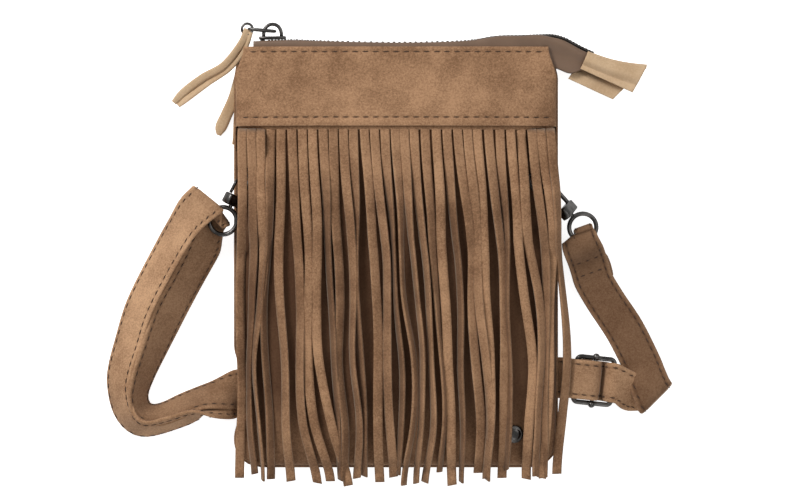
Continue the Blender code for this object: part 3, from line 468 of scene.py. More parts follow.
bm = shell(BAND_FOOT_Y + PANEL_LAP, BOTTOM_Y, front_panel_z, lap_inset,
           lambda y: SEAM_Z + FIT / 2, PANEL_COLUMNS, PANEL_ROWS)
painted_light_layer = bm.verts.layers.float.new("painted_light")
for vert in bm.verts:
    vert[painted_light_layer] = mix(SHADED_TONE, LIT_TONE, smoothstep((LIT_Y - vert.co.y) / LIT_LENGTH))
wall(add_piece("front_suede", bm, FRONT, "bag", ["front_panel"]), PANEL, -1)
bm = shell(BACK_HIGH.y, BOTTOM_Y, back_z, no_inset,
           lambda y: SEAM_Z - FIT / 2, PANEL_COLUMNS, PANEL_ROWS)
wall(add_piece("back_suede", bm, TAN, "bag", ["back_panel"]), PANEL, -1)


# Band
# A suede band folded over the fringe's uncut edge and top-stitched along its head and its foot.
# Its lower lip is turned under, so it stands proud of the strips.

HEAD_STITCH_Y = MOUTH_Y - 2.9 * MM
FOOT_STITCH_Y = BAND_FOOT_Y + 4.9 * MM
STITCH_GROOVE = 0.45 * MM
GROOVE_WIDTH = 1.3 * MM
LIP_PUFF = 0.55 * MM
LIP_MIDDLE = 2.2 * MM
LIP_HALF = 2.6 * MM
HEAD_ROLL = 0.5 * MM
HEAD_ROLL_LENGTH = 1.2 * MM
HEAD_THINNING = 20 * MM
BAND_DENT = 0.9 * MM
BAND_DENT_SCALE = 32
BAND_DENT_MIDDLE = 24 * MM
BAND_DENT_HALF = 22 * MM
BAND_COLUMNS = 170
BAND_ROWS = 90


def band_z(x, y):
    """The band's outer face, over the fringe's head below and straight on the mouth above."""
    over = mix(BAND + LAYERS, BAND + FIT, smoothstep((y - BAND_FOOT_Y - PANEL_LAP) / HEAD_THINNING))
    return front_z(x, y, 0.0, over) + corner_gap(y) * (1 - crown(x, y))


def band_face_z(x, y):
    """The same with its stitch grooves, its puffed lip, its rolled head and its dents."""
    lip = LIP_PUFF * bump((y - BAND_FOOT_Y - LIP_MIDDLE) / LIP_HALF)
    grooves = sum(bump((y - at) / GROOVE_WIDTH) for at in (HEAD_STITCH_Y, FOOT_STITCH_Y))
    roll = -HEAD_ROLL * smoothstep((y - MOUTH_Y + HEAD_ROLL_LENGTH) / HEAD_ROLL_LENGTH)
    dents = wrinkle(x, y, BAND_DENT, BAND_DENT_SCALE) * crown(x, y)
    dents *= bump((y - BAND_FOOT_Y - BAND_DENT_MIDDLE) / BAND_DENT_HALF)
    return band_z(x, y) + lip - STITCH_GROOVE * grooves + roll + dents


bm = shell(MOUTH_Y, BAND_FOOT_Y, band_face_z, no_inset,
           lambda y: SEAM_Z + FIT / 2 + corner_gap(y), BAND_COLUMNS, BAND_ROWS, open_foot=True)
wall(add_piece("band_suede", bm, TAN, "bag", ["front_band"]), BAND, -1)

THREAD_RADIUS = 0.36 * MM
THREAD_SIDES = 6
THREAD_SHARE = 0.7
THREAD_BROWN = (0.042, 0.020, 0.010)
THREAD_LIGHT = (0.075, 0.036, 0.018)
STITCH_ENDS = (0.0, 0.75, 1.0, 0.75, 0.0)
STITCH_LIFT = 0.2 * MM
STITCH_SLANT = 0.03
STITCH_MARGIN = 3 * MM
BAND_STITCH_PITCH = 5.5 * MM
SLOPE_STEP = 1 * MM
MERGE = 0.001 * MM


def thread_material():
    """Waxed brown thread, twisted."""
    made, tree, shader = new_material("brown_thread")
    place = object_place(tree)
    twist = noise_at(tree, place, scale=1800, detail=2)
    feed(tree, shader, Base_Color=mix_colour(tree, twist, THREAD_BROWN, THREAD_LIGHT))
    feed(tree, shader, Normal=bump_of(tree, twist, strength=0.4, distance=0.1 * MM))
    shader.inputs["Roughness"].default_value = 0.7
    return made


def add_stitches(bm, place_at, length, pitch):
    """Sets a row of thread stitches into a bmesh. place_at(distance) gives a point, way and normal."""
    count = int(length / pitch)
    rings = len(STITCH_ENDS)
    made = bmesh.ops.create_grid(bm, x_segments=THREAD_SIDES, y_segments=count * rings - 1, size=0.5)
    rows = {}
    for vert in made["verts"]:
        rows.setdefault(round((vert.co.y + 0.5) * (count * rings - 1)), []).append(vert)
    for row, verts in rows.items():
        index, ring = divmod(row, rings)
        point, way, normal = place_at((index + 0.5) * length / count)
        way, normal = way.normalized(), normal.normalized()
        side = way.cross(normal).normalized()
        along = (ring / (rings - 1) - 0.5) * pitch * THREAD_SHARE
        for vert in verts:
            turn = 2 * math.pi * (vert.co.x + 0.5)
            reach = THREAD_RADIUS * STITCH_ENDS[ring]
            vert.co = point + way * along + (side * math.cos(turn) + normal * math.sin(turn)) * reach
    shortest_gap = pitch * (1 - THREAD_SHARE) * 0.9
    between = [edge for edge in bm.edges if edge.calc_length() > shortest_gap]
    bmesh.ops.delete(bm, geom=between, context="EDGES")
    bmesh.ops.remove_doubles(bm, verts=bm.verts, dist=MERGE)


THREAD = thread_material()
bm = bmesh.new()
for stitch_y in (HEAD_STITCH_Y, FOOT_STITCH_Y):
    reach = half_width(stitch_y, 1) - STITCH_MARGIN

    def on_band(distance):
        x = distance - reach
        rise = band_face_z(x + SLOPE_STEP, stitch_y) - band_face_z(x - SLOPE_STEP, stitch_y)
        slope = rise / (2 * SLOPE_STEP)
        point = Vector((x, stitch_y, band_face_z(x, stitch_y) + STITCH_LIFT))
        return point, Vector((1, STITCH_SLANT, slope)), Vector((-slope, 0, 1))

    add_stitches(bm, on_band, 2 * reach, BAND_STITCH_PITCH)
add_piece("band_stitches", bm, THREAD, "bag")


# Lining
# A thin brown woven pouch hangs inside the bag and is caught in the mouth's seam.
# Its shape comes from the solid; only its cloth is made here.

LINING_LIGHT = (0.20, 0.13, 0.085)
LINING_DARK = (0.10, 0.065, 0.042)
YARN_SCALE = 260.0


def cloth_material(name, light, dark):
    """Plain weave: two crossed sets of yarns, a little uneven."""
    made, tree, shader = new_material(name)
    place = object_place(tree)
    warp = node(tree, "ShaderNodeTexWave", {"bands_direction": "X"}, {"Vector": place, "Scale": YARN_SCALE})
    weft = node(tree, "ShaderNodeTexWave", {"bands_direction": "Y"}, {"Vector": place, "Scale": YARN_SCALE})
    weave = warp * 0.5 + weft * 0.5
    worn = noise_at(tree, place, scale=120)
    feed(tree, shader, Base_Color=mix_colour(tree, (weave * 0.7 + worn * 0.3).clamp(), dark, light))
    feed(tree, shader, Normal=bump_of(tree, weave, strength=0.5, distance=0.1 * MM))
    shader.inputs["Roughness"].default_value = 0.85
    return made


LINING_CLOTH = cloth_material("brown_lining", LINING_LIGHT, LINING_DARK)
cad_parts["lining"].material_slots[0].material = LINING_CLOTH


# Fringe
# One suede sheet is caught under the band and cut into strips that hang over the front.
# The strips curl, turn edge on and cross, as the photo shows, and the lower-lying and turned ones are painted
# darker, as painted shade.

STRIP_WIDTH = 5.0 * MM
STRIP_SWAY = 0.8 * MM
# The next two numbers paint shade on strips turned edge on, and a highlight along the strips' cut edges,
# partly their paler cut colour.
TURN_SHADE = 0.3
CUT_EDGE_HIGHLIGHT = 0.24
STRIP_TOP_Y = BAND_FOOT_Y - 1.6 * MM
HEADER_TOP_Y = BAND_FOOT_Y + 8.5 * MM
STRIP_COLUMNS = 4
STRIP_ROWS = 56
STRIP_LOOSE = 0.9 * MM
RISE_RAMP = 5
SWAY_RAMP = 3
SWAY_TURNS = 11
SWAY_STAGGER = 1.7
RIPPLE_TURNS = 14
RIPPLE_STAGGER = 2.3
SLANT_STAGGER = 2.1
TONE_RAMP = 2.5
STRIP_RIPPLE = 0.5 * MM
STRIP_CUP = 0.35 * MM
MOST_TURN = 80
END_SLANT = 0.6 * MM
END_SHARE = 0.985
# Near the band the strips lie flat side by side, so their painted shade fades to a lighter share there and on
# the uncut sheet.
TOP_TONE = 0.85
HEADER_TONE = 0.8
HEADER_COLUMNS = 90
HEADER_ROWS = 6
HEADER_LAP = 0.4 * MM
HEADER_SINK = 0.05 * MM
PHOTO_SCALE = 0.56 * MM
PHOTO_CENTRE = (396, 255)
STRIP_HEAD_ROW = 128
STRIP_ROW_LEVELS = (240, 300, 360, 420)
TURN_ROW_LEVELS = (240, 360)
FRINGE_END_COLUMN = 551.5
HOOK_TOP_Z = 24 * MM
HOOK_MOUND_FLAT = (14 * MM, 24 * MM)
HOOK_MOUND_FALL = (16 * MM, 38 * MM)
STRAP_TOP_Z = 19 * MM
STRAP_PASS_X = -HALF - 4 * MM
STRAP_MOUND = (16 * MM, 30 * MM)
STUD_MOUND = (14 * MM, 22 * MM)
COVER_X = 80 * MM
COVER_Y = 71 * MM
COVER_LENGTH = 7 * MM
COVER_FLAT = (8 * MM, 32 * MM)
COVER_FALL = (7 * MM, 8 * MM)
COVER_LOW_Z = 16.5 * MM
COVER_HIGH_Z = 22.6 * MM
STUD_X = 65.5 * MM
STUD_Y = -99 * MM
STUD_COVER = 3.2 * MM


def photo_x(u):
    """The bag's X at a pixel column of the photo."""
    return (u - PHOTO_CENTRE[0]) * PHOTO_SCALE


def photo_y(v):
    """The bag's Y at a pixel row of the photo."""
    return (PHOTO_CENTRE[1] - v) * PHOTO_SCALE


# Each strip: its photo column at the band, at the four levels and at its end, its end's row,
# its turn in degrees at the two turn levels and at its end, its lift in mm, its tone.
# The last number is the strip's share of painted light: low for strips that lie low among the others, as
# painted shade.
STRIPS = (
    ((244, 244, 242.5, 241.5, 242.4, 242.4), 476, (25, 20, 0), 0.4, 0.80),
    ((253, 257, 252.6, 250.6, 253, 256), 472, (30, 60, 50), 0.0, 0.50),
    ((262.5, 265, 262, 257.5, 260.5, 263), 478, (10, 70, 75), 1.4, 0.95),
    ((272.5, 270, 267.5, 267.5, 270, 272.5), 477, (55, 50, 40), 0.0, 0.55),
    ((282.5, 282, 282.5, 285.3, 288, 293.5), 479, (0, 40, 15), 1.5, 0.92),
    ((293, 299.5, 300.6, 301.5, 305.7, 317.5), 481, (10, 35, 10), 0.8, 0.85),
    ((303.5, 309, 310, 311, 314.9, 330), 479, (0, 0, 10), 2.0, 1.0),
    ((313.5, 318.2, 319.3, 320.2, 331, 350), 483.5, (0, 5, 0), 2.6, 1.0),
    ((324, 330, 332, 334, 340, 342), 478, (50, 55, 60), 0.0, 0.50),
    ((334, 338, 339.5, 340.5, 346.5, 344), 474, (20, 40, 45), 0.6, 0.70),
    ((344, 351, 354.7, 354.5, 358.8, 357), 476, (30, 60, 40), 1.5, 0.90),
    ((354, 357, 358.8, 360.5, 364, 366), 474, (60, 50, 50), 0.2, 0.55),
    ((364.5, 374, 376, 377.5, 379.5, 380), 480, (25, 10, 5), 1.5, 0.90),
    ((374.5, 384.5, 386.5, 389, 390, 392.5), 475, (35, 30, 20), 0.7, 0.80),
    ((385, 392, 397, 402, 400, 398), 472, (70, 60, 60), 0.0, 0.50),
    ((395, 402, 405, 412.5, 413, 405), 483, (65, 60, 60), 1.6, 0.85),
    ((404, 412, 416, 422, 422.4, 415.3), 481, (60, 65, 60), 1.6, 0.85),
    ((413.6, 421.4, 427.5, 432, 432.6, 423.5), 480, (50, 60, 50), 1.6, 0.85),
    ((424.5, 431, 438, 441, 443, 440), 470, (30, 65, 60), 0.3, 0.65),
    ((435.6, 441.8, 444.9, 446, 451, 452.5), 483, (0, 5, 0), 2.2, 1.0),
    ((446, 455, 458, 460, 463, 459.5), 480, (50, 55, 70), 0.2, 0.50),
    ((456.5, 468.5, 471, 475, 478, 476.5), 471, (10, 25, 10), 0.8, 0.80),
    ((466.5, 476, 479, 484, 488, 486), 476, (20, 30, 60), 1.4, 0.90),
    ((476, 484, 484, 488, 491, 487), 478, (5, 15, 70), 2.2, 1.0),
    ((487, 498, 501, 504, 502.5, 499.5), 476, (35, 15, 5), 1.0, 0.80),
    ((498.5, 504, 506, 508, 506, 505), 468, (60, 60, 60), 0.0, 0.45),
    ((509, 517, 524, 529.5, 527, 526.5), 477, (5, 0, 0), 2.0, 1.0),
    ((519.5, 527, 536, 539, 537, 534), 474, (10, 45, 45), 1.2, 0.90),
    ((530, 541, 544, 545, 542, 540.8), 476, (30, 45, 30), 0.3, 0.60),
    ((539, 550, 549.5, 548, 544, 541), 476, (0, 20, 10), 1.8, 1.0),
    ((548.5, 557, 562, 564, 561, 556.5), 472, (55, 30, 0), 0.6, 0.75),
)


def spline(values, share):
    """A smooth curve through evenly spaced values, numbers or vectors."""
    last = len(values) - 1
    spot = min(max(share, 0.0), 1.0) * last
    index = min(int(spot), last - 1)
    local = spot - index
    a, b = values[max(index - 1, 0)], values[index]
    c, d = values[index + 1], values[min(index + 2, last)]
    slope_b, slope_c = (c - a) * 0.5, (d - b) * 0.5
    square, cube = local * local, local ** 3
    return (b * (2 * cube - 3 * square + 1) + slope_b * (cube - 2 * square + local)
            + c * (3 * square - 2 * cube) + slope_c * (cube - square))


def spline_at(places, values, place):
    """The same through values at uneven places."""
    for index in range(len(places) - 1):
        if place <= places[index + 1] or index == len(places) - 2:
            local = (place - places[index]) / (places[index + 1] - places[index])
            return spline(values, (index + local) / (len(places) - 1))


def strip_ground(x, y):
    """What the strips lie on: the front panel with its stud, the hooks and the strap."""
    ground = front_panel_z(x, max(y, BOTTOM_Y)) if abs(x) < half_width(y, x) else SEAM_Z + SEAM_LIP
    hook = HOOK_TOP_Z * hill(abs(x) - HOOK_X, HOOK_MOUND_FLAT[0], HOOK_MOUND_FALL[0])
    hook *= hill(y - HOOK_Y, HOOK_MOUND_FLAT[1], HOOK_MOUND_FALL[1])
    strap = STRAP_TOP_Z * bump((x - STRAP_PASS_X) / STRAP_MOUND[0]) * bump((y - SQUEEZE_Y) / STRAP_MOUND[1])
    stud = STUD_COVER * bump((x - STUD_X) / STUD_MOUND[0]) * bump((y - STUD_Y) / STUD_MOUND[1])
    return max(ground + stud, hook, strap)


def tab_cover(x, y):
    """The strips bulge over the loops that hold the D-rings."""
    rise = mix(COVER_LOW_Z, COVER_HIGH_Z, smoothstep((COVER_Y - y) / COVER_LENGTH))
    across = hill(abs(x) - COVER_X, COVER_FLAT[0], COVER_FALL[0])
    return rise * across * hill(y - HOOK_Y, COVER_FLAT[1], COVER_FALL[1])


def sheet_z(x, y):
    """Height of the uncut suede where it lies between the band and the front panel."""
    return front_z(x, y, lap_inset(y) - FIT - FRINGE / 2, FIT + FRINGE / 2)


def add_strip(bm, painted_light_layer, index, columns, end_row, turns, lift, painted_light):
    """One strip, from the band down. Waves that differ by its index keep it from its neighbours' way."""
    drops = [-photo_y(row) for row in (STRIP_HEAD_ROW, *STRIP_ROW_LEVELS, end_row)]
    turn_drops = [-photo_y(row) for row in (STRIP_HEAD_ROW, *TURN_ROW_LEVELS, end_row)]
    way = 1 if index % 3 else -1
    half = STRIP_WIDTH / 2
    made = bmesh.ops.create_grid(bm, x_segments=STRIP_COLUMNS, y_segments=STRIP_ROWS, size=0.5)
    for vert in made["verts"]:
        share = 0.5 - vert.co.y
        side = vert.co.x * 2
        rise = smoothstep(share * RISE_RAMP)
        y = mix(STRIP_TOP_Y, -drops[-1], share)
        u = spline_at(drops, columns, -y)
        turn = spline_at(turn_drops, (0, *turns), -y)
        turn = math.radians(max(-MOST_TURN, min(MOST_TURN, turn))) * way
        sway = math.sin(SWAY_TURNS * share + SWAY_STAGGER * index) * smoothstep(share * SWAY_RAMP)
        centre = photo_x(u) + STRIP_SWAY * sway
        laid_z = strip_ground(centre, y) + FIT + FRINGE / 2 + half * abs(math.sin(turn))
        ripple = math.sin(RIPPLE_TURNS * share + RIPPLE_STAGGER * index)
        laid_z += lift * MM + STRIP_LOOSE + STRIP_RIPPLE * ripple
        cup = STRIP_CUP * (1 - side * side) * rise
        x = centre + side * half * math.cos(turn)
        z = max(mix(sheet_z(centre, y), laid_z, rise), tab_cover(centre, y))
        z += side * half * math.sin(turn) + cup
        slant = END_SLANT * side * math.sin(SLANT_STAGGER * index) if share > END_SHARE else 0
        vert.co = (x, y + slant, z)
        # Painted light: the strip's own share, mostly painted shade for low strips and fading near the band;
        # painted shade where it turns edge on; a painted highlight along its cut edges, partly their paler
        # cut colour.
        shade = mix(max(painted_light, TOP_TONE), painted_light, smoothstep(share * TONE_RAMP))
        vert[painted_light_layer] = shade * (1 - TURN_SHADE * math.sin(turn) ** 2) + CUT_EDGE_HIGHLIGHT * abs(side) ** 6


FRINGE_SUEDE = suede("fringe_suede", SUEDE_LIGHT, SUEDE_DARK, with_painted_light=True)
bm = bmesh.new()
painted_light_layer = bm.verts.layers.float.new("painted_light")
for index, strip in enumerate(STRIPS):
    add_strip(bm, painted_light_layer, index, *strip)
header = bmesh.ops.create_grid(bm, x_segments=HEADER_COLUMNS, y_segments=HEADER_ROWS, size=0.5)
for vert in header["verts"]:
    y = mix(STRIP_TOP_Y - HEADER_LAP, HEADER_TOP_Y, vert.co.y + 0.5)
    x = vert.co.x * photo_x(FRINGE_END_COLUMN) * 2
    vert.co = (x, y, sheet_z(x, y) - HEADER_SINK)
    vert[painted_light_layer] = HEADER_TONE
wall(add_piece("fringe_suede", bm, FRINGE_SUEDE, "bag", ["fringe"]), FRINGE, 0)


# Zip cloth
# A woven tape runs up each side of the mouth to the teeth, faced with smooth brown leather.
# Beyond the mouth's right end both fold flat and run down as the zip's tail.

TAPE = 0.7 * MM
FACING = 0.8 * MM
RIDGE_Z = 12.4 * MM
ZIP_FOOT_Y = 103.6
ZIP_CLEARANCE = 0.5 * MM
SPINE_HALF = 2.4 * MM
SLIDER_HALF = 3.3 * MM
ZIP_COLUMNS = 120
ZIP_ROWS = 12
FOLD_START_X = 79.0
FOLD_LENGTH = 9.0
SHOULDER_DROP = (0.8 * MM, 3 * MM)
SHOULDER_OUT = 0.6 * MM
SIDE_MIDDLE = 0.6
SIDE_RISE = 0.15
TAIL_SHARE = 0.9
FACING_TOP_SHARE = 0.92
CLOTH_WAVE = 0.3 * MM
CLOTH_WAVE_SCALE = 60
RIDGE = ((-79, 118.2), (-59, 118.8), (-37, 118.2), (2, 117.5), (38, 118.4), (56, 120.8),
         (70, 121.17), (82, 121.5), (92, 119.8), (103, 114.2), (114.5, 109.2), (124, 106.4))
TAIL_FOOT = ((89, 103.6), (96.9, 100.9), (104.5, 103), (113, 100))
TAPE_LIGHT = (0.17, 0.105, 0.066)
TAPE_DARK = (0.085, 0.052, 0.034)
FACING_LIGHT = (0.22, 0.135, 0.085)
FACING_DARK = (0.13, 0.078, 0.050)


def zip_place(share):
    """The ridge's point, the foot's point under it, and how far the zip has folded flat."""
    ridge = spline([Vector(spot) for spot in RIDGE], share)
    first_tail = len(RIDGE) - len(TAIL_FOOT)
    feet = [Vector((x, ZIP_FOOT_Y)) for x, y in RIDGE[:first_tail]] + [Vector(spot) for spot in TAIL_FOOT]
    return ridge * MM, spline(feet, share) * MM, smoothstep((ridge.x - FOLD_START_X) / FOLD_LENGTH)


def zip_sheet(name, side, under, over, thickness, finish, share_up, nodes):
    """A tape or facing from the zip's foot to its ridge. side is 1 at the front, -1 at the back."""
    bm = bmesh.new()
    bmesh.ops.create_grid(bm, x_segments=ZIP_COLUMNS, y_segments=ZIP_ROWS, size=0.5)
    for vert in bm.verts:
        ridge, low, fold = zip_place(vert.co.x + 0.5)
        down = (low - ridge).normalized()
        if side > 0:
            inside = band_z(low.x, min(low.y, MOUTH_Y)) - BAND
        else:
            inside = back_z(low.x, min(low.y, MOUTH_Y)) + PANEL
        inner = inside - side * (ZIP_CLEARANCE + under + thickness / 2)
        flat = RIDGE_Z + side * (FIT / 2 + over + thickness / 2)
        foot_point = Vector((low.x, low.y, mix(inner, flat, fold)))
        reach = SPINE_HALF + FIT + TAPE / 2
        shoulder = ridge + down * mix(*SHOULDER_DROP, fold)
        high = RIDGE_Z + side * (mix(SLIDER_HALF + SHOULDER_OUT, reach, fold) + over)
        shoulder = Vector((shoulder.x, shoulder.y, high))
        middle = foot_point.lerp(shoulder, SIDE_MIDDLE)
        middle.z = mix(foot_point.z, shoulder.z, SIDE_RISE)
        edge = Vector((ridge.x, ridge.y, RIDGE_Z + side * reach))
        up = (vert.co.y + 0.5) * mix(share_up, min(share_up, TAIL_SHARE), fold)
        vert.co = spline([foot_point, middle, shoulder, edge], up)
        vert.co.z += side * CLOTH_WAVE * noise.noise(vert.co * CLOTH_WAVE_SCALE)
    wall(add_piece(name, bm, finish, "bag", nodes), thickness, 0)


def facing_material():
    """Smooth finished leather, brown, with a dull gloss and a fine grain."""
    made, tree, shader = new_material("smooth_facing")
    place = object_place(tree)
    grain = node(tree, "ShaderNodeTexVoronoi", {}, {"Vector": place, "Scale": 1500.0})
    worn = noise_at(tree, place, scale=60)
    feed(tree, shader, Base_Color=mix_colour(tree, worn, FACING_DARK, FACING_LIGHT))
    feed(tree, shader, Roughness=worn * 0.2 + 0.34)
    feed(tree, shader, Normal=bump_of(tree, grain, strength=0.25, distance=0.1 * MM))
    return made


TAPE_CLOTH = cloth_material("zip_tape", TAPE_LIGHT, TAPE_DARK)
SMOOTH = facing_material()
for side, end in ((1, "front"), (-1, "back")):
    zip_sheet(f"tape_{end}", side, FACING + FIT, 0.0, TAPE, TAPE_CLOTH, 1.0, [f"zip_tape_{end}"])
    zip_sheet(f"facing_{end}", side, 0.0, TAPE + FIT, FACING, SMOOTH, FACING_TOP_SHARE,
              [f"zip_facing_{end}"])


# Zip teeth
# Metal teeth are clamped on the corded edges of the two tapes, one row at each side.
# The rows stand half a pitch apart, so that each tooth locks between two others.

TOOTH_SIZE = Vector((1.35, 2.1, 2.7)) * MM
TAIL_OUT = 0.6 * MM
CORD_RADIUS = 0.45 * MM
TOOTH_REACH = 1.05 * MM
TEETH_COUNT = 58
TEETH_START = 0.045
TEETH_END = 0.87
NEAR_SHARE = 0.01
CORD_STEPS = 80
CORD_FIRST = 2
CORD_LAST = 69
CORD_SIDES = 8
CORD_DROP = 0.2 * MM
CORD_OUT = 1.6 * MM
TOOTH_DARK = (0.055, 0.050, 0.046)
TOOTH_LIGHT = (0.14, 0.13, 0.12)


def gunmetal(name, dark, light):
    """Black-nickel plating: dark, glossy, with faint clouding and fine wear."""
    made, tree, shader = new_material(name)
    place = object_place(tree)
    cloud = noise_at(tree, place, scale=160)
    specks = noise_at(tree, place, scale=1400, detail=2, roughness=0.6)
    share = (cloud.between(0.35, 0.7) * 0.7 + specks.between(0.5, 0.75) * 0.3).clamp()
    feed(tree, shader, Base_Color=mix_colour(tree, share, dark, light), Roughness=cloud * 0.16 + 0.2)
    feed(tree, shader, Normal=bump_of(tree, specks, strength=0.12, distance=0.08 * MM))
    shader.inputs["Metallic"].default_value = 1.0
    return made


def tube(bm, points, radius, closed=False, sides=14):
    """A round wire through points, its rings joined one after another."""
    rings = []
    last = len(points) - 1
    for index, point in enumerate(points):
        before = points[index - 1] if index or closed else point
        after = points[(index + 1) % len(points)] if index < last or closed else point
        turn = (after - before).to_track_quat("Z", "X").to_matrix().to_4x4()
        ends = not closed and index in (0, last)
        ring = bmesh.ops.create_circle(bm, cap_ends=ends, segments=sides, radius=radius,
                                       matrix=Matrix.Translation(point) @ turn)
        verts = set(ring["verts"])
        sides_here = {edge for vert in verts for edge in vert.link_edges}
        rings.append([edge for edge in sides_here if edge.other_vert(edge.verts[0]) in verts
                      and edge.verts[0] in verts])
    pairs = list(zip(rings, rings[1:]))
    if closed:
        pairs.append((rings[-1], rings[0]))
    for first, second in pairs:
        bmesh.ops.bridge_loops(bm, edges=first + second)
    bmesh.ops.recalc_face_normals(bm, faces=bm.faces)


def block(bm, size, place, edge=0.3 * MM):
    """A block of a size at a place and turn given by a matrix, its edges bevelled."""
    made = bmesh.ops.create_cube(bm, size=1, matrix=place @ Matrix.Diagonal((*size, 1)))
    edges = {side for vert in made["verts"] for side in vert.link_edges}
    bmesh.ops.bevel(bm, geom=list(edges), offset=edge, affect="EDGES", segments=2, profile=0.5, material=-1)


def ridge_frame(share, side):
    """At the teeth's line: X along the zip, Y out of the mouth, Z to the front."""
    here, _, fold = zip_place(share)
    way = (zip_place(share + NEAR_SHARE)[0] - zip_place(share - NEAR_SHARE)[0]).normalized()
    turn = Matrix(((way.x, way.y, 0), (-way.y, way.x, 0), (0, 0, 1))).transposed().to_4x4()
    place = Matrix.Translation((here.x, here.y, RIDGE_Z + side * TOOTH_REACH))
    return place @ turn @ Matrix.Translation((0, TAIL_OUT * fold, 0))


TOOTH_METAL = gunmetal("tooth_metal", TOOTH_DARK, TOOTH_LIGHT)
for side, end in ((1, "front"), (-1, "back")):
    bm = bmesh.new()
    for index in range(TEETH_COUNT):
        share = TEETH_START + (index + (side > 0) / 2) * (TEETH_END - TEETH_START) / TEETH_COUNT
        block(bm, TOOTH_SIZE, ridge_frame(share, side))
    cord_place = Vector((0, -CORD_DROP, side * CORD_OUT))
    cord = [ridge_frame(step / CORD_STEPS, side) @ cord_place for step in range(CORD_FIRST, CORD_LAST + 1)]
    tube(bm, cord, CORD_RADIUS, sides=CORD_SIDES)
    add_piece(f"teeth_{end}", bm, TOOTH_METAL, "bag", [f"zip_teeth_{end}"])


# Zip end tab
# A patch of paler suede is folded over the zip's end and covers where the teeth stop.
# It bulges over the folded zip, and its back leaf reaches a little lower than the front one.

TAB_FRONT = (Vector((106.4, 112.8)), Vector((139.4, 105.3)), Vector((131.3, 90.2)), Vector((102.3, 103.3)))
TAB_BACK = (Vector((105.4, 112.4)), Vector((138.4, 104.6)), Vector((120.8, 86.6)), Vector((95.8, 98.2)))
ZIP_TAB = 1.3 * MM
TAB_HOLLOW = 1.5
TAB_BULGE = 5.9 * MM
TAB_CLOSE = 2.9 * MM
TAB_COLUMNS = 36
TAB_ROWS = 48
TAB_JOIN_RAMP = 4
TAB_ROUND_RAMP = 9
TAB_CLOSE_RAMP = 7
TAB_TAPER_START = 0.45
TAB_BOW = 0.6 * MM
TAB_BOW_SCALE = 0.08
PALE_LIGHT = (0.66, 0.475, 0.30)
PALE_DARK = (0.50, 0.33, 0.19)


def make_end_tab():
    """One patch, its front leaf from turn 1 to the fold at 0, its back leaf from there to -1."""
    bm = bmesh.new()
    bmesh.ops.create_grid(bm, x_segments=TAB_COLUMNS, y_segments=TAB_ROWS, size=0.5)
    for vert in bm.verts:
        turn = vert.co.y * 2
        depth = abs(turn)
        corners = TAB_FRONT if turn > 0 else TAB_BACK
        across = vert.co.x + 0.5
        fold_line = corners[0].lerp(corners[1], across)
        if turn <= 0:
            front_line = TAB_FRONT[0].lerp(TAB_FRONT[1], across)
            fold_line = front_line.lerp(fold_line, smoothstep(depth * TAB_JOIN_RAMP))
        low_line = corners[3].lerp(corners[2], across)
        spot = fold_line.lerp(low_line, depth)
        spot.y -= TAB_HOLLOW * math.sin(math.pi * across) * (1 - depth)
        height = TAB_BULGE * math.sqrt(min(1.0, depth * TAB_ROUND_RAMP))
        height *= 1 - smoothstep((depth - TAB_TAPER_START) / (1 - TAB_TAPER_START))
        height = max(height, TAB_CLOSE * min(1.0, math.sqrt(depth * TAB_CLOSE_RAMP)))
        bow = TAB_BOW * noise.noise(Vector((spot.x, spot.y, 0)) * TAB_BOW_SCALE)
        vert.co = (spot.x * MM, spot.y * MM, RIDGE_Z + math.copysign(height, turn) + bow)
    wall(add_piece("end_tab", bm, PALE, "bag", ["zip_end_tab"]), ZIP_TAB, 0)


PALE = suede("pale_suede", PALE_LIGHT, PALE_DARK, nap=0.7)
make_end_tab()


# Slider
# A gunmetal slider straddles the teeth: two plates joined by a neck that parts the rows.
# A tall wire crown cast on its outer plate holds the puller.

METAL_DARK = (0.075, 0.071, 0.068)
METAL_LIGHT = (0.20, 0.19, 0.18)
SLIDER_X = -68.5 * MM
ZIP_CAD_Y = 118.6 * MM
ZIP_WAY = Vector((0.999821, 0.018916, 0))
ZIP_OUT = Vector((-0.018916, 0.999821, 0))
SLIDER_START_X = -66 * MM
PLATE_SIZE = Vector((15, 1.5, 7.4)) * MM
PLATE_OUT = 2.05 * MM
CROWN_REACH = 5.0 * MM
CROWN_HEIGHT = 7.4 * MM
CROWN_SINK = 0.5 * MM
CROWN_WIRE = 1.0 * MM
CROWN_STEPS = 18
CROWN_SQUARENESS = 0.7
NECK_SIZE = Vector((2.6, 4.0, 2.2)) * MM
NECK_ALONG = -5.6 * MM


def slider_frame(along, out):
    """X along the zip, Y out of the mouth, Z to the front, from the slider's middle."""
    middle = Vector((SLIDER_X, ZIP_CAD_Y + ZIP_WAY.y * (SLIDER_X - SLIDER_START_X), RIDGE_Z))
    middle += ZIP_WAY * along + ZIP_OUT * out
    turn = Matrix((ZIP_WAY, ZIP_OUT, Vector((0, 0, 1)))).transposed().to_4x4()
    return Matrix.Translation(middle) @ turn


GUNMETAL = gunmetal("gunmetal", METAL_DARK, METAL_LIGHT)
bm = bmesh.new()
for out_way in (-1, 1):
    block(bm, PLATE_SIZE, slider_frame(0, out_way * PLATE_OUT), edge=0.5 * MM)
block(bm, NECK_SIZE, slider_frame(NECK_ALONG, 0))
crown_foot = slider_frame(0, PLATE_OUT + PLATE_SIZE.y / 2)
crown_path = []
for step in range(CROWN_STEPS + 1):
    turn = math.pi * step / CROWN_STEPS
    rise = CROWN_HEIGHT * math.sin(turn) ** CROWN_SQUARENESS - CROWN_SINK
    crown_path.append(crown_foot @ Vector((CROWN_REACH * math.cos(turn), rise, 0)))
tube(bm, crown_path, CROWN_WIRE)
add_piece("slider", bm, GUNMETAL, "slider", ["zip_slider"])


# Puller and ring
# A short gunmetal puller, a flattened loop of wire, hangs on the slider's crown.
# A small closed ring runs in its outer end and carries the laces.

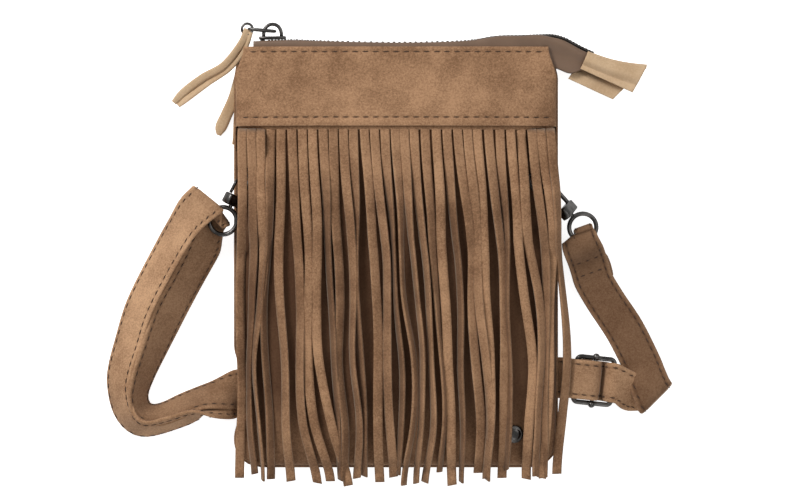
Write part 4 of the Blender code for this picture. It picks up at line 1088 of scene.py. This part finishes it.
PULLER_TURN = math.radians(174)
PULLER_LENGTH = 14.5 * MM
PULLER_START = -0.8 * MM
PULLER_WIRE = 0.85 * MM
PIVOT_ALONG = 0.6 * MM
PIVOT_OUT = 3 * MM
ARM_OUT = 2.5 * MM
ARM_SQUARENESS = 0.45
PULL_RING_RADIUS = 3.0 * MM
PULL_RING_WIRE = 0.75 * MM
PULL_RING_START = PULLER_LENGTH - 2.8 * MM
LOOP_STEPS = 24


def puller_point(along, side, out=0.0):
    """A point from the puller's pivot: along it, across it and out of its plane."""
    frame_here = slider_frame(PIVOT_ALONG, PLATE_OUT + PLATE_SIZE.y / 2 + PIVOT_OUT)
    return frame_here @ Matrix.Rotation(PULLER_TURN, 4, "Z") @ Vector((along, out, side))


loop_turns = [2 * math.pi * step / LOOP_STEPS for step in range(LOOP_STEPS)]
bm = bmesh.new()
loop = []
for turn in loop_turns:
    along = PULLER_LENGTH / 2 * (1 - math.cos(turn)) + PULLER_START
    side = math.copysign(abs(math.sin(turn)) ** ARM_SQUARENESS * ARM_OUT, math.sin(turn))
    loop.append(puller_point(along, side))
tube(bm, loop, PULLER_WIRE, closed=True)
add_piece("puller", bm, GUNMETAL, "puller", ["zip_puller"])

bm = bmesh.new()
loop = []
for turn in loop_turns:
    along = PULL_RING_START + PULL_RING_RADIUS * (1 + math.cos(turn))
    loop.append(puller_point(along, 0, PULL_RING_RADIUS * math.sin(turn)))
tube(bm, loop, PULL_RING_WIRE, closed=True)
add_piece("pull_ring_wire", bm, GUNMETAL, "puller", ["pull_ring"])


# Laces
# Narrow laces of the paler suede are tied in the puller's ring: a doubled long one that runs
# off to the left and a wide one that hangs down beside the band.

LACE = 1.2 * MM
LACE_OUTER = ((-82.4, 125.4, 13), (-86.2, 117.2, 11.8), (-95.8, 105.6, 10.2), (-107.8, 98.9, 8),
              (-118.9, 90.8, 5), (-124.2, 85.2, 3.6, 0.7))
LACE_INNER = ((-81.4, 124, 12.4), (-84.8, 114.8, 10.6), (-92.9, 104.4, 9), (-104.8, 96.4, 6.6),
              (-117.3, 87.4, 3.8), (-121.8, 83.6, 2.8, 0.7))
LACE_WIDE = ((-82.6, 124, 11.8, 0.4), (-86.2, 110, 6.2, 0.7), (-87.4, 99, 2.2, 1), (-90.6, 88, 1.4, 1),
             (-94.6, 79, 1.3, 1), (-98, 71.4, 1.2, 1), (-99.2, 67, 1.2, 0.3))
LACE_THIN = ((-87.8, 97, 2.4, 0.6), (-89, 86, 1.7), (-90, 74, 1.4), (-91.2, 61.8, 1.3, 0.4))
LACE_WIDTH = 4.2 * MM
LACE_CUP = 0.3 * MM
LACE_STEPS = 60


def add_lace(bm, path, width, lean):
    """A flat strip along a path of places in mm, each with its share of the width where it isn't 1."""
    spots = [Vector(row[:3]) * MM for row in path]
    shares = [row[3] if len(row) > 3 else 1.0 for row in path]
    made = bmesh.ops.create_grid(bm, x_segments=4, y_segments=LACE_STEPS, size=0.5)
    for vert in made["verts"]:
        along = vert.co.y + 0.5
        way = (spline(spots, along + NEAR_SHARE) - spline(spots, along - NEAR_SHARE)).normalized()
        across = Vector((way.y, -way.x, 0)).normalized() * math.cos(lean) + Vector((0, 0, math.sin(lean)))
        cup = LACE_CUP * (1 - (vert.co.x * 2) ** 2)
        vert.co = spline(spots, along) + across * (width * spline(shares, along) * vert.co.x)
        vert.co.z += cup


bm = bmesh.new()
for path, lean in ((LACE_OUTER, 0.35), (LACE_INNER, -0.3)):
    add_lace(bm, path, LACE_WIDTH, lean)
wall(add_piece("lace_long", bm, PALE, "puller", ["pull_lace_long"]), LACE, 0)
bm = bmesh.new()
add_lace(bm, LACE_WIDE, 1.5 * LACE_WIDTH, lean=0.12)
add_lace(bm, LACE_THIN, 0.5 * LACE_WIDTH, lean=0.8)
wall(add_piece("lace_wide", bm, PALE, "puller", ["pull_lace_middle"]), LACE, 0)


# D-rings and tabs
# A suede loop sewn in under the band holds a gunmetal D-ring at each side of the bag.
# The ring is bent from round wire and closed; the loop is a doubled strip round its straight bar.

WIRE = 1.1 * MM
LEFT_EYE = Vector((-95.8, 19, 17.4))
RIGHT_EYE = Vector((103.6, 15.4, 15.4))
LEFT_CLAW = Vector((-83, 44.2, 18.4))
RIGHT_CLAW = Vector((84.6, 36.6, 18.4))
RING_HALF = 6.6 * MM
RING_SIDE = 2.8 * MM
TAB_WIDTH = 9.4 * MM
TAB = 1.2 * MM
TAB_ROOT_DROP = 6.5 * MM
BEND_STEPS = 16
TAB_FOLD_STEPS = 12
HOOK_SIDES = (("left", LEFT_EYE, LEFT_CLAW), ("right", RIGHT_EYE, RIGHT_CLAW))


def flat_ring_middle(eye, claw):
    """The D-ring's round end is centred up the hook's line from where the claw pulls on it."""
    way = claw - eye
    way.z = 0
    return claw * MM + way.normalized() * RING_HALF


for side, eye, claw in HOOK_SIDES:
    middle = flat_ring_middle(eye, claw)
    points = [middle + Vector((reach * RING_HALF, RING_SIDE, 0)) for reach in (-1, -0.5, 0, 0.5, 1)]
    for step in range(BEND_STEPS + 1):
        turn = -math.pi * step / BEND_STEPS
        points.append(middle + Vector((math.cos(turn), math.sin(turn), 0)) * RING_HALF)
    bm = bmesh.new()
    tube(bm, points, WIRE, closed=True)
    add_piece(f"d_ring_wire_{side}", bm, GUNMETAL, f"d_ring_{side}", [f"d_ring_{side}"])

    bar_y = middle.y + RING_SIDE
    reach = WIRE + FIT + TAB / 2
    root_y = BAND_FOOT_Y - TAB_ROOT_DROP
    high_side = math.copysign(abs(middle.x) - TAB_WIDTH / 2, middle.x)
    ground = panel_z(high_side, root_y) + 3 * FIT + TAB / 2
    path = [Vector((0, root_y, ground + TAB + FIT)), Vector((0, (root_y + bar_y) / 2, middle.z + reach))]
    for step in range(TAB_FOLD_STEPS + 1):
        turn = math.pi / 2 + math.pi * step / TAB_FOLD_STEPS
        path.append(Vector((0, bar_y + reach * math.cos(turn), middle.z + reach * math.sin(turn))))
    path += [Vector((0, (root_y + bar_y) / 2, middle.z - reach)), Vector((0, root_y, ground))]
    bm = bmesh.new()
    bmesh.ops.create_grid(bm, x_segments=8, y_segments=len(path) - 1, size=0.5)
    for vert in bm.verts:
        spot = path[round((vert.co.y + 0.5) * (len(path) - 1))]
        vert.co = (middle.x + vert.co.x * TAB_WIDTH, spot.y, spot.z)
    wall(add_piece(f"ring_tab_suede_{side}", bm, TAN, "bag", [f"ring_tab_{side}"]), TAB, 0)


# Hooks
# Each gunmetal swivel hook has a square base and a bent claw that is caught in the D-ring.
# A straight sprung gate on the base closes the claw's opening.

CLAW_WIRE = 1.2 * MM
CLAW_HALF = 4.8 * MM
CLAW_ROLL = math.radians(50)
CLAW_TOP = 31.6 * MM
BASE_START = 9.6 * MM
BASE_LENGTH = 6.2 * MM
BASE_DEPTH = 5.4 * MM
BASE_EDGE = 0.9 * MM
SHANK_STEPS = 8
CLAW_STEPS = 14
GATE_STEPS = 3
GATE_WIRE = 0.9 * MM


def hook_frame(eye, claw):
    """X from the eye to the claw, Y across the claw's opening, Z out of the hook's plane."""
    along = (claw - eye).normalized()
    level = Vector((0, 0, 1)).cross(along).normalized()
    up = along.cross(level)
    across = level * math.cos(CLAW_ROLL) + up * math.sin(CLAW_ROLL)
    out = along.cross(across)
    return Matrix.Translation(eye * MM) @ Matrix((along, across, out)).transposed().to_4x4()


for side, eye, claw in HOOK_SIDES:
    hook = hook_frame(eye, claw)
    bend = CLAW_TOP - CLAW_HALF
    base_middle = BASE_START + BASE_LENGTH / 2
    shank = [base_middle + bend * step / SHANK_STEPS for step in range(SHANK_STEPS)]
    path = [Vector((along, -CLAW_HALF, 0)) for along in shank if along < bend]
    for step in range(CLAW_STEPS + 1):
        turn = -math.pi / 2 + math.pi * step / CLAW_STEPS
        path.append(Vector((bend + CLAW_HALF * math.cos(turn), CLAW_HALF * math.sin(turn), 0)))
    bm = bmesh.new()
    tube(bm, [hook @ spot for spot in path], CLAW_WIRE)
    base_size = (BASE_LENGTH, 2 * CLAW_HALF + 2 * CLAW_WIRE, BASE_DEPTH)
    block(bm, base_size, hook @ Matrix.Translation((base_middle, 0, 0)), edge=BASE_EDGE)
    add_piece(f"hook_claw_{side}", bm, GUNMETAL, f"hook_{side}", [f"hook_{side}"])

    gate_end = bend - GATE_WIRE - 2 * FIT - CLAW_WIRE
    gate_foot = BASE_START + BASE_LENGTH + FIT
    gate = [mix(gate_foot, gate_end, step / GATE_STEPS) for step in range(GATE_STEPS + 1)]
    bm = bmesh.new()
    tube(bm, [hook @ Vector((along, CLAW_HALF, 0)) for along in gate], GATE_WIRE)
    add_piece(f"gate_bar_{side}", bm, GUNMETAL, f"gate_{side}", [f"hook_gate_{side}"])


# Strap rings
# The strap is looped through a ring of round gunmetal wire, a little thicker than the D-ring's.
# The ring's stem is riveted into the hook's base, where the hook turns on it.

RING_RADIUS = 7.6 * MM
RING_WIRE = 1.15 * WIRE
RING_STEPS = 36
STEM_END = 13.2 * MM
STEM_STEPS = 2

for side, eye, claw in HOOK_SIDES:
    along = (claw - eye).normalized()
    level = Vector((0, 0, 1)).cross(along).normalized()
    middle = eye * MM
    turns = [2 * math.pi * step / RING_STEPS for step in range(RING_STEPS)]
    loop = [middle + (along * math.cos(turn) + level * math.sin(turn)) * RING_RADIUS for turn in turns]
    stem = [mix(RING_RADIUS, STEM_END, step / STEM_STEPS) for step in range(STEM_STEPS + 1)]
    bm = bmesh.new()
    tube(bm, loop, RING_WIRE, closed=True)
    tube(bm, [middle + along * reach for reach in stem], WIRE)
    add_piece(f"strap_ring_wire_{side}", bm, GUNMETAL, "bag", [f"strap_ring_{side}"])


# Strap
# One long strap of doubled suede with turned edges and a row of brown stitches along each.
# It is sewn round the right ring, runs through the slide, behind the bag, up to the left ring
# and back behind the bag to the slide's bar; at the left its two layers lean on each other.

STRAP_WIDTH = 22 * MM
WRAP = WIRE + FIT + STRAP / 2
RING_WRAP = WRAP + 0.5 * MM
FLOOR_LAYER = STRAP / 2 + 0.1 * MM
UPPER_LAYER = FLOOR_LAYER + STRAP + FIT
ADJUSTER_Z = UPPER_LAYER + WRAP
ADJUSTER = Vector((110.3, -70, 0)) * MM
ADJUSTER_HEADING = -6
RIGHT_GATHER = 0.5
LEFT_GATHER = 0.64
FOLD_STEPS = 4
ROW_SAMPLES = 12
WAY_STEP = 0.0006
STRAP_SECTION = 44
STRAP_STEP = 3.0 * MM
STRAP_MERGE = 0.02 * MM
STRAP_STITCH_PITCH = 4.87 * MM
STITCH_SHARE = 0.76
GROOVE_SHARE = 0.1
GROOVE_DEPTH = 0.26
RIM_POWER = 8
SWELL = 0.12
SWELL_SCALE = 70
CROSS_ROWS = (11.8, 13.1)
CROSS_LENGTH = 15 * MM
CROSS_PITCH = 0.8 * STRAP_STITCH_PITCH
CROSS_LIFT = 0.1 * MM


# A row of the strap is its middle's x, y and z in mm, the heading and the lean of its width in
# degrees, and its share of the full width where that isn't 1.
def turn_rows(x, y, z, way, first, last, heading, lean, radius, share=1.0):
    """Rows round a fold: its middle, the plan direction it bulges to, and its start and end angle."""
    rows = []
    for step in range(FOLD_STEPS + 1):
        turn = math.radians(mix(first, last, step / FOLD_STEPS))
        out = radius * math.cos(turn)
        rows.append((x + way[0] * out / MM, y + way[1] * out / MM, z + radius * math.sin(turn) / MM,
                     heading, lean, share))
    return rows


def right_ring_rows():
    """The strap's sewn end: a turned-back layer, the gathered loop in the ring, the upper layer."""
    eye = RIGHT_EYE
    way = (0.25, -0.968)
    heading = 20

    def at(distance, z, share, shift=0.0):
        return (eye.x + way[0] * distance + shift, eye.y + way[1] * distance, z, heading, 0, share)

    step = (STRAP + FIT) / MM
    low = FLOOR_LAYER / MM
    rows = [at(31, low, 1), at(25, low + 1.4, 1), at(19, low + 4.4, 0.9), at(13, eye.z - 5, 0.6)]
    middle = at(3.6, eye.z - 0.8, RIGHT_GATHER)
    back = (-way[0], -way[1])
    rows += turn_rows(*middle[:3], back, -90, 90, heading, 0, RING_WRAP, RIGHT_GATHER)
    rows += [at(4.6, eye.z + 3.3, 0.86, -3.4), at(9, eye.z + 2.8, 0.96, -3.8), at(14, eye.z + 0.6, 1, -2.8)]
    rows += [at(19, low + 4.8 + step, 1, -1.8), at(25, low + 1.6 + step, 1, -1.3)]
    rows += [at(31, low + step, 1, -0.8)]
    return rows


def adjuster_row(along, z, lean):
    """A row beside the adjuster, along from its bar and square to it."""
    heading = math.radians(ADJUSTER_HEADING)
    x = ADJUSTER.x / MM + along * math.cos(heading)
    y = ADJUSTER.y / MM + along * math.sin(heading)
    return (x, y, z, 90 + ADJUSTER_HEADING, lean)


def strap_rows():
    """The whole strap: right ring, adjuster, behind the bag, left ring and back to the adjuster's bar."""
    low = FLOOR_LAYER / MM
    up = UPPER_LAYER / MM
    over = (ADJUSTER_Z + WRAP) / MM
    fold = 2.2
    rows = right_ring_rows()
    rows += [(117.4, -26, low + 1, 26, 0), (128, -42, low, 29, 0), (137, -60, low + 1, 28, 0),
             (141, -71, low + 2 * fold, 34, 0, 1.04)]
    rows += turn_rows(144, -78.4, low + fold, (0.707, -0.707), 90, -90, 45, 0, fold * MM, 1.12)
    rows += [(134.5, -77.4, low + 0.6, 62, 0), (127.6, -74.6, low + 4.6, 76, 0)]
    rows += [adjuster_row(12.4, over - 0.8, 0), adjuster_row(10.4, over, 0), adjuster_row(8.2, over - 0.9, 0),
             adjuster_row(6.8, over - 4.2, 0), adjuster_row(5.6, low + 1.2, 0), adjuster_row(3.2, low, 0),
             adjuster_row(-10, low, 0)]
    rows += [(80, -69.5, low, 88, 0), (40, -71, low, 88, 0), (0, -73, low, 88, 0), (-40, -75, low, 89, 0),
             (-74, -76.5, low, 90, 0), (-87.5, -79.5, low, 92, 0), (-95, -82.4, 7.8, 96, -38),
             (-102.5, -85.6, 12, 100, -70), (-112, -89, 12.6, 100, -106), (-125.4, -93.6, 12.6, 90, -112),
             (-138, -96.6, 12.6, 70, -116), (-145.6, -94.4, 12.3, 46, -120), (-151, -87.3, 11.7, 20, -126),
             (-153.9, -77, 10.8, -4, -129), (-153.8, -66, 10.2, -10, -133), (-149.4, -50, 10, -18, -137),
             (-142.4, -28, 10.4, -28, -139), (-127.6, 0.6, 12.2, -31, -141),
             (-117.7, 16.5, 17, -34, -147), (-110.5, 25.2, 22.2, -37, -166)]
    eye = LEFT_EYE
    hem = WIRE + 2 * FIT + STRAP
    hem_z = (eye.z * MM + hem + STRAP / 2 + FIT) / MM
    rows += turn_rows(-104.4, 30.2, hem_z, (0.626, 0.78), 90, -90, -39, -180, (STRAP + FIT) / 2)
    rows += [(-102.9, 25.4, hem_z - 1.6, -46, -180, 0.9)]
    rows += turn_rows(eye.x - 3.6, eye.y + 1.4, eye.z, (0.9, 0.44), 90, -90, -54, -180, RING_WRAP,
                      LEFT_GATHER)
    rows += [(-103.6, 15.4, 13.4, -46, -194, 0.95), (-105.6, 8, 11.2, -40, -206, 1.0),
             (-109.6, -1, 9.8, -34, -216), (-117.6, -16, 8.8, -33, -220), (-126.6, -32.8, 8.4, -30, -219),
             (-134.6, -52, 9.6, -20, -232), (-140.8, -68, 10.8, -10, -241), (-143.4, -78.8, 11.4, 0, -246),
             (-140.7, -86.6, 11.2, 34, -242), (-131.4, -88.4, 10.2, 74, -234), (-121, -84.8, 10.4, 92, -232),
             (-110, -79.9, 10.6, 96, -236), (-101.5, -77.6, 10.2, 95, -228), (-94.5, -76, 8.2, 94, -208),
             (-87, -74.6, up, 92, -180), (-72, -74.2, up, 90, -180), (-40, -73.5, up, 89, -180),
             (0, -72, up, 88, -180), (40, -70.5, up, 88, -180), (80, -69, up, 86, -180)]
    rows += [adjuster_row(-20, up + 0.4, -180), adjuster_row(-13.6, over - 1.4, -180),
             adjuster_row(-10.5, over, -180), adjuster_row(-4, over, -180)]
    for turn in (90, 45, 0, -45, -90):
        angle = math.radians(turn)
        along = WRAP / MM * math.cos(angle)
        rows.append(adjuster_row(along, (ADJUSTER_Z + WRAP * math.sin(angle)) / MM, -180))
    rows += [adjuster_row(-8.2, up, -180)]
    return rows


def strap_edge(share):
    """Half the strap's thickness across its width, 1 in the middle: rounded rims, stitch grooves."""
    groove = bump((abs(share) - STITCH_SHARE) / GROOVE_SHARE)
    return math.sqrt(max(0.0, 1 - abs(share) ** RIM_POWER)) * (1 - GROOVE_DEPTH * groove)


class Strip:
    """The strap's middle line with the direction of its width at every place."""

    def __init__(self, rows):
        self.points = [Vector(row[:3]) * MM for row in rows]
        self.turns = [Vector((row[3], row[4], row[5] if len(row) > 5 else 1.0)) for row in rows]
        samples = ROW_SAMPLES * len(rows)
        spots = [spline(self.points, step / samples) for step in range(samples + 1)]
        self.reaches = [0.0]
        for before, after in zip(spots, spots[1:]):
            self.reaches.append(self.reaches[-1] + (after - before).length)

    def at(self, share):
        """The middle, the width's half vector and the direction square to both."""
        turn = spline(self.turns, share)
        heading, lean = math.radians(turn.x), math.radians(turn.y)
        level = math.cos(lean)
        across = Vector((level * math.cos(heading), level * math.sin(heading), math.sin(lean)))
        way = spline(self.points, share + WAY_STEP) - spline(self.points, share - WAY_STEP)
        way = (way - across * way.dot(across)).normalized()
        return spline(self.points, share), across * (STRAP_WIDTH / 2 * turn.z), way.cross(across)

    def share_at(self, distance):
        """The share of the rows at which a length along the strap is reached."""
        for index in range(len(self.reaches) - 1):
            if self.reaches[index + 1] >= distance:
                step = self.reaches[index + 1] - self.reaches[index]
                return (index + (distance - self.reaches[index]) / step) / (len(self.reaches) - 1)
        return 1.0


STRAP_LIGHT = (0.57, 0.340, 0.192)
STRAP_DARK = (0.29, 0.157, 0.082)
STRAP_TONES = ((0, 0.32), (18, 0.34), (20, 0.42), (22, 0.85), (26, 0.95), (29, 0.7), (33, 0.6), (37, 0.9),
               (40, 1.0), (50, 1.0), (53, 0.85), (58, 0.7), (62, 0.6), (78, 0.66), (84, 0.8), (90, 0.66),
               (110, 0.66))
# Painted highlight along the strap's rounded rims and painted shade in its stitch grooves; the table above
# paints its lit and shaded lengths.
RIM_HIGHLIGHT = 0.2
RIM_HIGHLIGHT_START = 0.84
GROOVE_SHADE = 0.14
STRAP_SUEDE = suede("strap_suede", STRAP_LIGHT, STRAP_DARK, with_painted_light=True)


def strap_tone(row):
    """How much of the full colour shows: the lit left part is palest, the right part in shade."""
    for before, after in zip(STRAP_TONES, STRAP_TONES[1:]):
        if row <= after[0]:
            return mix(before[1], after[1], (row - before[0]) / (after[0] - before[0]))
    return STRAP_TONES[-1][1]


def make_strap():
    strip = Strip(strap_rows())
    rows = int(strip.reaches[-1] / STRAP_STEP)
    bm = bmesh.new()
    painted_light_layer = bm.verts.layers.float.new("painted_light")
    bmesh.ops.create_grid(bm, x_segments=STRAP_SECTION, y_segments=rows, size=0.5)
    for vert in bm.verts:
        share = strip.share_at((vert.co.y + 0.5) * strip.reaches[-1])
        middle, across, normal = strip.at(share)
        turn = (vert.co.x + 0.5) * 2
        face = 1 if turn <= 1 else -1
        place = math.sin((turn - 0.5 if turn <= 1 else 1.5 - turn) * math.pi)
        # Painted light: lit and shaded lengths of the strap, a painted highlight on its rims, painted shade
        # in its stitch grooves.
        painted_light = strap_tone(share * (len(strip.points) - 1))
        painted_light += RIM_HIGHLIGHT * smoothstep((abs(place) - RIM_HIGHLIGHT_START) / GROOVE_SHARE)
        vert[painted_light_layer] = painted_light - GROOVE_SHADE * bump((abs(place) - STITCH_SHARE) / GROOVE_SHARE)
        swell = 1 + SWELL * noise.noise(middle * SWELL_SCALE)
        vert.co = middle + across * place + normal * (face * STRAP / 2 * strap_edge(place) * swell)
    bmesh.ops.remove_doubles(bm, verts=bm.verts, dist=STRAP_MERGE)
    bmesh.ops.holes_fill(bm, edges=[edge for edge in bm.edges if edge.is_boundary])
    bmesh.ops.recalc_face_normals(bm, faces=bm.faces)
    add_piece("strap_suede", bm, STRAP_SUEDE, "bag", ["strap"])

    bm = bmesh.new()
    for side in (-1, 1):
        for face in (-1, 1):
            def on_strap(distance):
                middle, across, normal = strip.at(strip.share_at(distance))
                spot = middle + across * (side * STITCH_SHARE)
                spot += normal * (face * (STRAP / 2 * strap_edge(STITCH_SHARE) + STITCH_LIFT))
                return spot, normal.cross(across) * face, normal * face

            add_stitches(bm, on_strap, strip.reaches[-1], STRAP_STITCH_PITCH)
    for row in CROSS_ROWS:
        def across_strap(distance):
            middle, across, normal = strip.at(row / (len(strip.points) - 1))
            spot = middle + across.normalized() * (distance - CROSS_LENGTH / 2)
            return spot + normal * (STRAP / 2 + CROSS_LIFT), across, normal

        add_stitches(bm, across_strap, CROSS_LENGTH, CROSS_PITCH)
    add_piece("strap_stitches", bm, THREAD, "bag")


make_strap()


# Adjuster
# A gunmetal slide, a rounded frame of wire with a bar across its middle, sets the strap's length.
# The strap's free end is sewn round the bar, whose ball ends stand past the frame.

ADJUSTER_REACH = 10.5 * MM
ADJUSTER_WIRE = 1.35 * MM
ADJUSTER_CORNER = 2.4 * MM
CORNER_STEPS = 5
BAR_PAST = 0.6 * MM
BALL_RADIUS = 2.0 * MM


def make_adjuster():
    heading = math.radians(ADJUSTER_HEADING)
    along = Vector((math.cos(heading), math.sin(heading), 0))
    across = Vector((-along.y, along.x, 0))
    middle = ADJUSTER.copy()
    middle.z = ADJUSTER_Z
    side = STRAP_WIDTH / 2 + 2 * FIT + WIRE
    points = []
    for x_way, y_way, first in ((1, 1, 0), (-1, 1, 90), (-1, -1, 180), (1, -1, 270)):
        for step in range(CORNER_STEPS + 1):
            turn = math.radians(first + 90 * step / CORNER_STEPS)
            x = x_way * (ADJUSTER_REACH - ADJUSTER_CORNER) + ADJUSTER_CORNER * math.cos(turn)
            y = y_way * (side - ADJUSTER_CORNER) + ADJUSTER_CORNER * math.sin(turn)
            points.append(middle + along * x + across * y)
    bm = bmesh.new()
    tube(bm, points, ADJUSTER_WIRE, closed=True)
    bar_half = side + BAR_PAST
    tube(bm, [middle + across * bar_half * step / 2 for step in (-2, -1, 0, 1, 2)], WIRE)
    for way in (-1, 1):
        bmesh.ops.create_uvsphere(bm, u_segments=20, v_segments=12, radius=BALL_RADIUS,
                                  matrix=Matrix.Translation(middle + across * (way * bar_half)))
    add_piece("adjuster_slide", bm, GUNMETAL, "bag", ["adjuster"])


make_adjuster()


# Stud
# A plain round gunmetal rivet head, domed with a ring-shaped groove, is set in the front panel
# near its lower right corner, and its shank goes through the suede.

STUD_RADIUS = 5.0 * MM
STUD_RISE = 1.7 * MM
STUD_STEPS = 40
STUD_MERGE = 0.01 * MM
STUD_PROFILE = ((0.0, 1.0), (0.35, 0.97), (0.62, 0.86), (0.66, 0.74), (0.74, 0.74), (0.78, 0.86),
                (0.92, 0.66), (1.0, 0.3), (1.0, 0.0))


def make_stud():
    step = SLOPE_STEP
    slope_x = (panel_z(STUD_X + step, STUD_Y) - panel_z(STUD_X - step, STUD_Y)) / (2 * step)
    slope_y = (panel_z(STUD_X, STUD_Y + step) - panel_z(STUD_X, STUD_Y - step)) / (2 * step)
    normal = Vector((-slope_x, -slope_y, 1)).normalized()
    middle = Vector((STUD_X, STUD_Y, panel_z(STUD_X, STUD_Y))) + normal * 0.5 * FIT
    bm = bmesh.new()
    spots = [bm.verts.new((radius * STUD_RADIUS, 0, rise * STUD_RISE)) for radius, rise in STUD_PROFILE]
    edges = [bm.edges.new(pair) for pair in zip(spots, spots[1:])]
    bmesh.ops.spin(bm, geom=spots + edges, cent=(0, 0, 0), axis=(0, 0, 1), angle=2 * math.pi,
                   steps=STUD_STEPS, use_merge=True)
    bmesh.ops.remove_doubles(bm, verts=bm.verts, dist=STUD_MERGE)
    bmesh.ops.recalc_face_normals(bm, faces=bm.faces)
    turn = normal.to_track_quat("Z", "X").to_matrix().to_4x4()
    bmesh.ops.transform(bm, matrix=Matrix.Translation(middle) @ turn, verts=bm.verts)
    add_piece("stud_head", bm, GUNMETAL, "bag", ["stud"])


make_stud()
